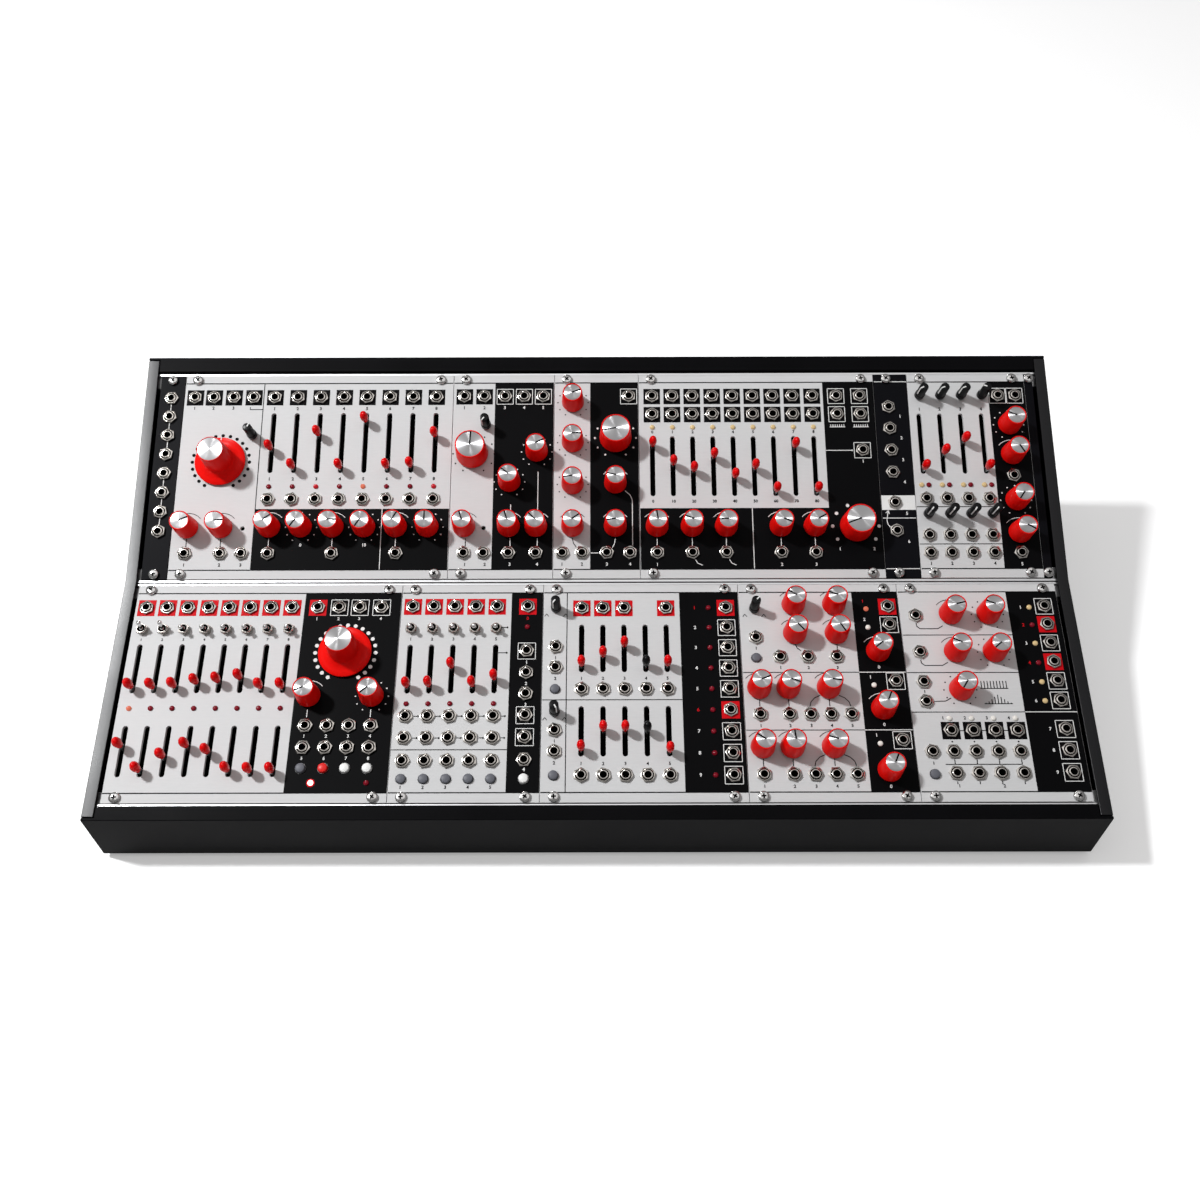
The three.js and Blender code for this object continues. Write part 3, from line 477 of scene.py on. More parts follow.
def slimKnob(bm, size, top):
    # a black cap with a pale line over its top and down its side
    base, upper, low = size["base"], size["top"], knobLift
    side = [
        (0, low), (base - 0.3, low), (base, low + 0.3), (base - 0.05, low + 3), (base - 0.35, low + 3.4),
        (upper, top - 0.5), (upper - 0.15, top - 0.12), (upper - 0.5, top), (0, top),
    ]
    stamp(bm, spunMesh("slim_side", side, size["steps"]), look=2)
    stamp(bm, blockMesh("slim_mark", (-0.35, 0.3, top - 0.4), (0.35, upper - 0.2, top + 0.08)), look=4)
    slope = math.degrees(math.atan2(base - 0.35 - upper, top - low - 3.9))
    edge = blockMesh("slim_line", (-0.35, -0.25, -7.2), (0.35, 0.06, 0))
    stamp(bm, edge, at(0, upper + 0.01, top - 0.35, lean=-slope), look=4)


def redKnob(bm, size, top):
    # a red cap with a turned metal top; the large one stands on a skirt
    base, upper, reach, low = size["base"], size["top"], size["disc"], knobLift
    if "skirt" in size:
        rim, skirt = low + size["rim"], size["skirt"]
        side = [
            (0, low), (skirt - 0.3, low), (skirt, low + 0.3), (skirt, rim - 0.4), (skirt - 0.35, rim),
            *((radius, rim + rise) for radius, rise in size["flare"]), (base, low + size["skirtHeight"]),
        ]
        mark = blockMesh("skirt_mark", *size["mark"])
    else:
        side = [(0, low), (base - 0.35, low), (base, low + 0.35), (base - 0.02, low + 1.2)]
        mark = blockMesh("pointer", (-0.42, -0.2, top - 0.2), (0.42, reach * 0.99, top + 0.05))
    side += [
        (upper + 0.02, top - 0.55), (upper - 0.08, top - 0.2), (upper - 0.3, top), (reach + 0.12, top),
        (reach, top - 0.3), (0, top - 0.3),
    ]
    stamp(bm, spunMesh("knob_side", side, size["steps"]), look=0)
    stamp(bm, discMesh(reach - 0.02, size["steps"]), at(0, 0, top - 0.14), look=1)
    stamp(bm, mark, look=4 if "skirt" in size else 5)


def knobMesh(kind, loose):
    size = knobSizes[kind]
    bm = bmesh.new()
    bm.loops.layers.uv.new("spun")
    shape = slimKnob if kind == "slim" else redKnob
    shape(bm, size, knobLift + size["height"])
    if loose:
        shaft = size.get("shaft", knobShaft["radius"])
        low, high, edge = knobShaft["low"], knobShaft["high"], knobShaft["edge"]
        side = [(0, low), (shaft - edge, low), (shaft, low + edge), (shaft, high), (0, high)]
        stamp(bm, spunMesh("shaft", side, knobShaft["steps"]), look=3)
    return meshOf(bm, "knob_" + kind)


knobMeshes = {(kind, loose): knobMesh(kind, loose) for kind in knobSizes for loose in (False, True)}
print("knobs shaped")


# Jacks: a chamfered nut, a bushing and a black bore

jack = {
    "nut": 4.3, "nutHeight": 1.4, "chamfer": 0.4, "opening": 3.25, "bushing": 2.75, "bore": 1.95,
    "height": 1.95, "depth": 6, "crown": 0.93, "crownWidth": 1.1, "shoulder": 0.6,
}


def jackMesh():
    high, opening, ring = jack["nutHeight"], jack["opening"], jack["bushing"]
    bm = hexagon(jack["nut"], 0, high)
    lower = min(bm.faces, key=lambda face: face.calc_center_median().z)
    bmesh.ops.delete(bm, geom=[topFace(bm), lower], context="FACES_ONLY")
    bmesh.ops.subdivide_edges(bm, edges=openEdges(bm), cuts=1)
    edges = [edge for edge in openEdges(bm) if edge.verts[0].co.z > high / 2]
    # the chamfer cuts the corners lower than the flats
    flat = jack["nut"] * math.cos(math.pi / 6)
    for edge in edges:
        for vert in edge.verts:
            beyond = Vector(vert.co[:2]).length - flat * jack["crown"]
            vert.co.z = high - jack["chamfer"] * beyond / jack["crownWidth"]
    # the nut's lower inner wall and the groove floor round the bushing get the near-black finish: painted
    # shade in the groove
    for radius, height, look in (
        (flat - jack["chamfer"] * jack["shoulder"], high, 0), (opening + 0.12, high, 0),
        (opening, high - 0.15, 0), (opening, 0.15, 1), (ring - 0.05, 0.15, 1),
    ):
        result = bmesh.ops.extrude_edge_only(bm, edges=edges)
        edges = newParts(result, bmesh.types.BMEdge)
        for vert in newParts(result, bmesh.types.BMVert):
            setRadius(vert, radius)
            vert.co.z = height
        for face in newParts(result, bmesh.types.BMFace):
            face.material_index = look
    nut = asMesh(bm, "jack_nut")
    bore, high, floor = jack["bore"], jack["height"], -jack["depth"]
    points = [
        (0, floor), (bore, floor), (bore, high - 0.12), (bore + 0.12, high), (ring - 0.35, high),
        (ring - 0.1, high - 0.13), (ring, high - 0.38), (ring, floor - 0.3), (0, floor - 0.3),
    ]
    return joined("jack", nut, spunMesh("jack_bushing", points, 14, [1, 1, 0, 0, 0, 0, 0, 0]))


jackShape = jackMesh()

# Pan head screws with a cross recess

screw = {
    "height": 2, "recess": 2.25, "depth": 0.9, "cells": 5, "dome": 0.04, "corner": 1.12, "foot": -0.05,
    "paintedShadeFrom": 0.42, "rim": ((2.74, 0.13), (2.94, 0.27), (3, 0.45)),
}


def screwMesh():
    bm = bmesh.new()
    cells, recess = screw["cells"], screw["recess"]
    lift = Matrix.Translation((0, 0, screw["height"]))
    bmesh.ops.create_grid(bm, x_segments=cells, y_segments=cells, size=recess, matrix=lift)
    middles = {face: face.calc_center_median() for face in bm.faces}
    cross = [face for face, spot in middles.items() if min(abs(spot.x), abs(spot.y)) < recess / cells]
    for vert in bm.verts:
        if vert.is_boundary:
            setRadius(vert, recess * screw["corner"])
    for vert in bm.verts:
        vert.co.z -= screw["dome"] * (vert.co.x ** 2 + vert.co.y ** 2)
    inner = [face for face in cross if not any(edge.is_boundary for edge in face.edges)]
    deep = newParts(bmesh.ops.extrude_face_region(bm, geom=inner), bmesh.types.BMVert)
    bmesh.ops.translate(bm, verts=deep, vec=(0, 0, -screw["depth"]))
    bmesh.ops.delete(bm, geom=inner, context="FACES_ONLY")
    # faces deeper than this in the cross recess get the near-black finish: painted shade
    for face in bm.faces:
        if face.calc_center_median().z < screw["height"] - screw["paintedShadeFrom"]:
            face.material_index = 1
    for radius, drop in screw["rim"]:
        result = bmesh.ops.extrude_edge_only(bm, edges=openEdges(bm))
        for vert in newParts(result, bmesh.types.BMVert):
            setRadius(vert, radius)
            vert.co.z -= drop
    result = bmesh.ops.extrude_edge_only(bm, edges=openEdges(bm))
    for vert in newParts(result, bmesh.types.BMVert):
        vert.co.z = screw["foot"]
    bmesh.ops.holes_fill(bm, edges=openEdges(bm), sides=0)
    return asMesh(bm, "screw")


screwShape = screwMesh()

# Sliders: a lever, a glossy cap and the body that the slot opens into

slider = {"slot": 3, "end": 3, "bodyHalf": 4.4, "bodyEnd": 5, "depth": 7.9, "floor": 0.6}
capProfile = [
    (0, 2.6), (1.3, 2.6), (1.6, 2.95), (1.85, 4), (2.1, 5.6), (2.3, 7.2), (2.32, 8.4), (2.15, 9.7),
    (1.75, 10.9), (1.15, 11.65), (0.5, 11.97), (0, 12),
]
capShape = spunMesh("slider_cap", capProfile, 14)
capShape.transform(Matrix.Diagonal((1, 1.2, 1, 1)))
leverShape = blockMesh("slider_lever", (-0.5, -1.7, -9.6), (0.5, 1.7, 3.2), 0.12)


def sliderBodyMesh(length):
    bm = bmesh.new()
    whole = length + slider["bodyEnd"]
    size = (slider["bodyHalf"] * 2, whole, slider["depth"] + slider["floor"])
    middle = (0, 0, -rack["thickness"] - size[2] / 2)
    bmesh.ops.create_cube(bm, size=1, matrix=Matrix.Translation(middle) @ Matrix.Diagonal((*size, 1)))
    top = topFace(bm)
    wall = slider["bodyHalf"] - slider["slot"] / 2
    bmesh.ops.inset_region(bm, faces=[top], thickness=wall)
    bmesh.ops.scale(bm, vec=(1, length / (whole - 2 * wall), 1), verts=top.verts[:])
    deep = newParts(bmesh.ops.extrude_face_region(bm, geom=[top]), bmesh.types.BMVert)
    bmesh.ops.translate(bm, verts=deep, vec=(0, 0, -slider["depth"]))
    bmesh.ops.delete(bm, geom=[top], context="FACES_ONLY")
    return asMesh(bm, "slider_body")


# Toggles: a hex nut, a round bushing and a bat lever

toggle = {
    "nut": 3.5, "nutHeight": 1.9, "sunk": 0.3, "chamfer": 0.28, "rim": 0.35, "bushing": 2.75, "height": 3.4,
    "bore": 2.2, "floor": 0.9, "groove": 0.18, "pivot": 2.6, "lean": 14, "level": 0.9,
}
batProfile = [
    (0, -1.4), (0.85, -1.15), (1.3, -0.5), (1.4, 0), (1.15, 0.75), (0.85, 1.1), (0.9, 2.2), (1.22, 4.8),
    (1.3, 5.5), (1.05, 6.1), (0.55, 6.36), (0, 6.4),
]
batShape = spunMesh("toggle_bat", batProfile, 14)


def toggleBaseMesh():
    bm = hexagon(toggle["nut"], -toggle["sunk"], toggle["nutHeight"])
    bmesh.ops.bevel(
        bm, geom=list(topFace(bm).edges), offset=toggle["chamfer"], segments=1, profile=0.5, affect="EDGES",
        material=-1,
    )
    flats = [face for face in bm.faces if abs(face.normal.z) > toggle["level"]]
    for face in flats:
        bmesh.ops.inset_individual(bm, faces=[face], thickness=toggle["rim"])
    bmesh.ops.delete(bm, geom=flats, context="FACES_ONLY")
    bmesh.ops.bridge_loops(bm, edges=openEdges(bm))
    nut = asMesh(bm, "toggle_nut")
    ring, bore, floor, high = toggle["bushing"], toggle["bore"], toggle["floor"], toggle["height"]
    groove = ring - toggle["groove"]
    points = [
        (0, floor), (bore, floor), (bore, high - 0.15), (bore + 0.15, high), (ring - 0.15, high),
        (ring, high - 0.15), (groove, high - 0.4), (ring, high - 0.65), (groove, high - 0.9), (ring, 1.9),
        (ring, -0.2),
    ]
    return joined("toggle_base", nut, spunMesh("toggle_bushing", points, 16, [1, 1, 0, 0, 0, 0, 0, 0, 0, 0]))


toggleBaseShape = toggleBaseMesh()

# Buttons, lamps and what stands behind the panels

buttonProfile = [(0, -4), (2.5, -4), (2.6, -3.9), (2.6, 1.3), (2.45, 1.6), (2.15, 1.78), (0, 1.8)]
buttonShape = spunMesh("button_cap", buttonProfile, 20)
wellProfile = [(0, -5.4), (2.9, -5.4), (2.9, -2.05), (4, -2.05), (4, -6), (0, -6)]
buttonWellShape = spunMesh("button_well", wellProfile, 16)
lampProfile = [(0, -0.5), (1.45, -0.5), (1.5, 0.35), (1.35, 0.75), (0.95, 1.05), (0.45, 1.2), (0, 1.22)]
lampShape = spunMesh("lamp_lens", lampProfile, 12)
socketShape = blockMesh("socket", (-4.4, -4.4, -11.1), (4.4, 4.4, -6.1), 0.3)
potShape = blockMesh("pot", (-5.4, -5.4, -11.1), (5.4, 5.4, -9.9), 0.25)
dotShape = spunMesh("dot", [(0, -0.06), (1, -0.06), (1, 0.08), (0, 0.08)], 12)
barShape = blockMesh("bar", (0, -0.5, -0.06), (1, 0.5, 0.08))
ribbon = {"wires": 10, "pitch": 1.27, "thick": 0.6, "low": 21.5}
ribbonRuns = {"front": {"y": -16.74, "high": 55.9}, "rear": {"y": 22.75, "high": 68.6}}


def wireMesh(length):
    wire = ribbon["thick"]
    return spunMesh("wire", [(0, 0), (wire, 0), (wire, length), (0, length)], 8)


wireShapes = {rowName: wireMesh(run["high"] - ribbon["low"]) for rowName, run in ribbonRuns.items()}
ribbonPlug = blockMesh("ribbon_plug", (-8.4, -2.9, -0.2), (8.4, 2.9, 4.2), 0.3)
print("small shapes made")


# The modules' tables: places on a panel are shares of its width and height

def even(first, last, count):
    return [first + (last - first) * step / (count - 1) for step in range(count)]


multiples = even(0.227, 0.886, 8)
stages = even(0.043, 0.59, 8)
pulses = even(0.687, 0.923, 4)
harmonics = even(0.338, 0.938, 8)
taps = even(0.056, 0.735, 9)
channels = [0.089, 0.26, 0.436, 0.61]
choices = even(0.082, 0.675, 5)
segments = even(0.197, 0.626, 5)
gates = even(0.116, 0.885, 9)
inputs = [0.093, 0.269, 0.395, 0.517, 0.64]
registers = even(0.222, 0.616, 4)
samples = [0.884, 0.798, 0.71, 0.618, 0.529, 0.442]


def column(x, heights, *look):
    return [(v, [x], *look) for v in heights]


# jacks: height, places and the ground printed round them.
# smallKnobs: x, v, pointer angle and a loose one's name; otherKnobs have their kind before that.
rearModules = [
    {
        "name": "passive_multiple", "units": 3, "dark": True,
        "jacks": column(0.5, multiples),
    },
    {
        "name": "harmonic_oscillator", "units": 32,
        "jacks": [
            (0.889, [0.041, 0.111, 0.185, 0.259] + harmonics, "black"), (0.381, harmonics),
            (0.121, [0.055, 0.182, 0.258, 0.353, 0.581, 0.811]),
        ],
        "otherKnobs": [
            ("large", 0.156, 0.565, 0, "coarse_tuning_knob"),
            ("slim", 0.266, 0.696, 25, "fine_tuning_knob"),
        ],
        "smallKnobs": [
            (0.057, 0.243, 65), (0.18, 0.243, 88, "modulation_depth_knob"), (0.352, 0.246, 55),
            (0.466, 0.246, -145, "scan_width_knob"), (0.58, 0.246, 92), (0.694, 0.246, -147),
            (0.808, 0.246, 31), (0.922, 0.246, 0),
        ],
        "sliders": [{
            "low": 0.511, "high": 0.81, "places": harmonics,
            "travel": [0.37, 0, 0.65, 0, 0.92, 0, 0.03, 0.62],
            "loose": {0: "harmonic_1_slider", 4: "harmonic_5_slider"},
        }],
        "lamps": [
            (0.444, [harmonics[i] for i in (0, 1, 3, 5, 6)], "lampDark"),
            (0.444, [harmonics[i] for i in (2, 7)], "lampRed"), (0.444, [harmonics[4]], "lampOrange"),
        ],
    },
    {
        "name": "dual_waveform_oscillator", "units": 12,
        "jacks": [
            (0.891, [0.112, 0.308], "black"), (0.891, [0.513, 0.702, 0.891], "outline"),
            (0.121, [0.144, 0.333, 0.571, 0.833]),
        ],
        "otherKnobs": [
            ("medium", 0.203, 0.604, 3, "pitch_knob"), ("slim", 0.333, 0.743, -140, "pitch_trim_knob"),
        ],
        "smallKnobs": [
            (0.571, 0.464, -52), (0.833, 0.612, 65, "timbre_knob"), (0.144, 0.246, -18),
            (0.571, 0.246, -18), (0.833, 0.246, -45),
        ],
    },
    {
        "name": "amplifier_and_tone", "units": 10,
        "jacks": [(0.891, [0.882], "outline"), (0.121, [0.104, 0.331, 0.616, 0.882])],
        "otherKnobs": [("medium", 0.724, 0.681, -100, "amplitude_knob")],
        "smallKnobs": [
            (0.222, 0.86, 69), (0.222, 0.658, 90, "cutoff_knob"), (0.222, 0.451, -97), (0.222, 0.246, 55),
            (0.719, 0.455, -78), (0.715, 0.246, -97),
        ],
    },
    {
        "name": "multitap_delay", "units": 28,
        "jacks": [
            (0.89, taps, "black"), (0.798, taps, "black"), (0.89, [0.837, 0.936], "outline"),
            (0.798, [0.837, 0.936], "outline"), (0.617, [0.936], "outline"),
            (0.121, [0.07, 0.214, 0.353, 0.578, 0.719]),
        ],
        "otherKnobs": [("medium", 0.889, 0.244, -111, "delay_time_knob")],
        "smallKnobs": [
            (0.07, 0.245, -8), (0.214, 0.245, -68), (0.354, 0.245, -93),
            (0.579, 0.245, 113, "feedback_knob"), (0.719, 0.245, 60),
        ],
        "sliders": [{
            "low": 0.393, "high": 0.689, "places": taps,
            "travel": [0.9, 0.53, 0.4, 0.67, 0.27, 0.45, 0, 0.87, 0],
            "loose": {0: "tap_1_slider"},
        }],
        "lamps": [(0.734, taps, "lampYellow")],
    },
    {
        "name": "noise_and_filter", "units": 4, "dark": True,
        "jacks": column(0.39, [0.223, 0.359, 0.507, 0.616, 0.725, 0.833]),
    },
    {
        "name": "scan_and_pan", "units": 14,
        "jacks": [
            (0.378, channels), (0.202, channels), (0.118, channels + [0.83]),
            (0.89, [0.758, 0.904], "outline"), (0.49, [0.83]),
        ],
        "otherKnobs": [
            ("slim", 0.093, 0.889, -115), ("slim", 0.269, 0.889, -110), ("slim", 0.444, 0.889, -110),
            ("slim", 0.62, 0.889, -70), ("slim", 0.093, 0.302, -140, "pan_1_knob"),
            ("slim", 0.269, 0.302, -145), ("slim", 0.444, 0.302, -145), ("slim", 0.62, 0.302, -140),
        ],
        "smallKnobs": [
            (0.831, 0.742, -68, "scan_position_knob"), (0.831, 0.594, 150), (0.831, 0.369, -145),
            (0.831, 0.213, 119),
        ],
        "sliders": [{
            "low": 0.5, "high": 0.8, "places": [0.083, 0.257, 0.433, 0.609], "travel": [0, 0.3, 0.54, 0],
            "loose": {2: "channel_3_slider"},
        }],
        "lamps": [
            (0.445, [share - 0.03 for share in channels], "lampYellow"),
            (0.445, [share + 0.03 for share in channels], "lampDark"),
        ],
    },
    {"name": "blank_panel", "units": 1, "dark": True, "bare": True},
]

frontModules = [
    {
        "name": "multistage_sequencer", "units": 30,
        "jacks": [
            (0.89, stages + [0.687], "red"), (0.89, [0.768, 0.845, 0.926], "outline"),
            (0.336, pulses), (0.239, pulses),
        ],
        "otherKnobs": [("large", 0.806, 0.672, 0, "stage_time_knob")],
        "smallKnobs": [(0.689, 0.47, -112), (0.918, 0.47, -130, "pulse_width_knob")],
        "toggles": [(stages[0], 0.782, 1, "stage_1_toggle"), (stages[1], 0.782, 1)] + [
            (x, 0.782, -1) for x in stages[2:]
        ],
        "sliders": [
            {
                "low": 0.486, "high": 0.715, "places": stages,
                "travel": [0, 0, 0.02, 0.11, 0.15, 0.23, 0, 0],
                "loose": {4: "stage_5_upper_slider"},
            },
            {
                "low": 0.112, "high": 0.338, "places": stages,
                "travel": [0.61, 0.02, 0.35, 0.61, 0.46, 0.02, 0, 0],
                "loose": {2: "stage_3_lower_slider"},
            },
        ],
        "buttons": [
            (0.687, 0.149, "greyPlastic"), (0.766, 0.149, "redButton", "stop_button"),
            (0.843, 0.149, "whitePlastic"), (0.922, 0.149, "whitePlastic"),
        ],
        "lamps": [
            (0.416, stages[:1], "lampOrange"), (0.416, stages[1:], "lampDark"), (0.086, [0.728], "lampLit"),
            (0.085, [0.924], "lampDark"),
        ],
    },
    {
        "name": "stage_selector", "units": 16,
        "jacks": [
            (0.893, choices + [0.891], "red"), (0.378, choices), (0.281, choices),
            (0.18, choices),
        ] + column(0.891, [0.184, 0.479, 0.577]) + column(0.891, [0.284, 0.382, 0.679], "outline"),
        "toggles": [(choices[0], 0.784, -1, "choice_1_toggle")] + [(x, 0.784, -1) for x in choices[1:]],
        "sliders": [{
            "low": 0.482, "high": 0.711, "places": choices, "travel": [0.04, 0.06, 0.53, 0.06, 0.23],
            "loose": {2: "choice_3_slider"},
        }],
        "buttons": [(0.082, 0.102, "greyPlastic", "choice_1_button")]
        + [(x, 0.102, "greyPlastic") for x in choices[1:]] + [(0.891, 0.102, "whitePlastic")],
        "lamps": [(0.435, choices, "lampDark"), (0.794, [0.891], "lampDark")],
    },
    {
        "name": "multi_envelope", "units": 22,
        "jacks": [
            (0.884, [0.197, 0.304, 0.412, 0.626], "red"), (0.5, segments), (0.116, segments),
        ] + column(0.066, [0.22, 0.314, 0.601, 0.698])
        + [
            (v, [0.932], "red" if index in (0, 5) else "outline")
            for index, v in enumerate(reversed(gates))
        ],
        "otherKnobs": [("slim", 0.066, 0.881, -145, "curve_knob"), ("slim", 0.066, 0.395, 150)],
        "sliders": [
            {
                "low": 0.579, "high": 0.805, "places": segments, "travel": [0.04, 0.28, 0.54, 0.04, 0.04],
                "loose": {2: "segment_3_slider"}, "black": [3],
            },
            {
                "low": 0.198, "high": 0.423, "places": segments, "travel": [0.04, 0.52, 0.52, 0.5, 0],
                "black": [3],
            },
        ],
        "buttons": [(0.066, 0.501, "greyPlastic", "gate_button"), (0.064, 0.116, "greyPlastic")],
        "lamps": column(0.844, gates, "lampDark"),
    },
    {
        "name": "voltage_processor", "units": 18,
        "jacks": [
            (0.74, [0.094]), (0.648, [0.236, 0.406, 0.583]), (0.383, inputs),
            (0.118, inputs), (0.889, [0.928], "red"),
        ] + column(0.928, [0.267, 0.534, 0.801], "outline"),
        "otherKnobs": [("slim", 0.094, 0.877, 45)],
        "smallKnobs": [
            (0.339, 0.896, -58), (0.592, 0.896, -70), (0.335, 0.757, 140), (0.592, 0.757, 150),
            (0.094, 0.502, 69, "input_1_knob"), (0.27, 0.502, 110), (0.515, 0.502, 99), (0.094, 0.237, -57),
            (0.27, 0.237, -5), (0.515, 0.237, -73), (0.837, 0.672, -128), (0.831, 0.407, 24),
            (0.831, 0.135, 25),
        ],
        "buttons": [(0.09, 0.644, "greyPlastic")],
        "lamps": column(0.794, [0.878], "lampOrange") + column(0.794, [0.788, 0.516, 0.252], "lampWhite"),
    },
    {
        "name": "random_sampler", "units": 18,
        "jacks": [
            (0.844, [0.096]), (0.669, [0.096]), (0.309, registers, "black"),
            (0.216, [0.096] + registers), (0.122, registers),
        ] + column(0.096, [0.44, 0.53]) + column(0.906, [0.802, 0.623], "red")
        + column(0.906, [0.889, 0.712, 0.534, 0.444, 0.315, 0.221, 0.125], "outline"),
        "smallKnobs": [
            (0.313, 0.85, 77, "correlation_knob"), (0.547, 0.85, -65), (0.313, 0.669, -65),
            (0.551, 0.669, -130), (0.313, 0.493, -147),
        ],
        "buttons": [(0.096, 0.118, "greyPlastic", "trigger_button")],
        "lamps": [
            (v, [0.814], "lampDark" if index in (1, 3) else "lampYellow") for index, v in enumerate(samples)
        ] + [(0.363, registers, "lampWhite")],
    },
]

screwPlaces = {
    "rear": [7.5, 22.74, 170.06, 185.3, 246.26, 297.06, 424.06, 439.3, 459.62, 515.5, 525.8],
    "front": [7.5, 144.66, 159.9, 225.94, 241.18, 337.7, 352.94, 429.14, 444.38, 520.58],
}
screwHeights = (3, 125.5)
# how far nuts and screws are turned from one to the next, in degrees
nutTurns = {"step": 47, "whole": 60}
screwTurns = {"step": 37, "upStep": 29, "whole": 90}

# What is printed on the panels, in the row's millimetres
zones = {
    "harmonic_oscillator": [(63, 177.4, 5.5, 43)],
    "dual_waveform_oscillator": [(203, 238.4, 5.5, 123.5)],
    "amplifier_and_tone": [(260.4, 289.2, 5.5, 123.5)],
    "multitap_delay": [(289.9, 431.5, 5.5, 43), (400.8, 431.5, 43, 123.5)],
    "scan_and_pan": [(500.7, 522.9, 5.5, 123.5)],
    "multistage_sequencer": [(97, 152.1, 5.5, 123.5)],
    "stage_selector": [(215.5, 233.4, 5.5, 123.5)],
    "multi_envelope": [(311.5, 345.1, 5.5, 123.5)],
    "voltage_processor": [(410.5, 436.6, 5.5, 123.5)],
    "random_sampler": [(499.2, 528, 5.5, 123.5)],
}


def arc(x, v, radius, first, last, count):
    # points round (x, v), with angles clockwise from straight up
    turns = [math.radians(first + (last - first) * step / (count - 1)) for step in range(count)]
    return [(x + radius * math.sin(turn), v + radius * math.cos(turn)) for turn in turns]


def comb(x0, x1, v, heights):
    # a base line with upright teeth along it
    teeth = [[(x0, v), (x1, v)]]
    for step, tall in enumerate(heights):
        x = x0 + (x1 - x0) * (step + 0.5) / len(heights)
        teeth.append([(x, v), (x, v + tall)])
    return teeth


def arrow(x0, v0, x1, v1, head=0.9, spread=0.6):
    # a straight line with an open head at its second end
    heading = math.atan2(v1 - v0, x1 - x0)
    barbs = [
        (x1 - head * math.cos(heading + turn), v1 - head * math.sin(heading + turn))
        for turn in (-spread, spread)
    ]
    return [[(x0, v0), (x1, v1)], [barbs[0], (x1, v1), barbs[1]]]


def uprights(low, high, *xs):
    return [[(x, low), (x, high)] for x in xs]


def levels(x0, x1, *vs):
    return [[(x0, v), (x1, v)] for v in vs]


def countUp(tall, x, heights, first=1, reds=()):
    # a column of plain numbers, one at each height
    return [
        (red if index in reds else white, tall, v, [x], first + index) for index, v in enumerate(heights)
    ]


def xsOf(name, shares):
    start, width = spans[name]
    return [start + width * share for share in shares]


def vsOf(shares):
    return [rack["height"] * share for share in shares]


# where each module starts in its row, and how wide it is
spans = {}
for modules in (rearModules, frontModules):
    start = 0
    for spec in modules:
        width = spec["units"] * rack["unit"]
        spans[spec["name"]] = (start, width)
        start += width

harmonicXs = xsOf("harmonic_oscillator", harmonics)
tapXs = xsOf("multitap_delay", taps)
channelXs = xsOf("scan_and_pan", channels)
stageXs = xsOf("multistage_sequencer", stages)
pulseXs = xsOf("multistage_sequencer", pulses)
choiceXs = xsOf("stage_selector", choices)
segmentXs = xsOf("multi_envelope", segments)
inputXs = xsOf("voltage_processor", inputs)
registerXs = xsOf("random_sampler", registers)
multipleVs = vsOf(multiples)

# the inks, by their places among the looks of a print
black, white, red = range(3)

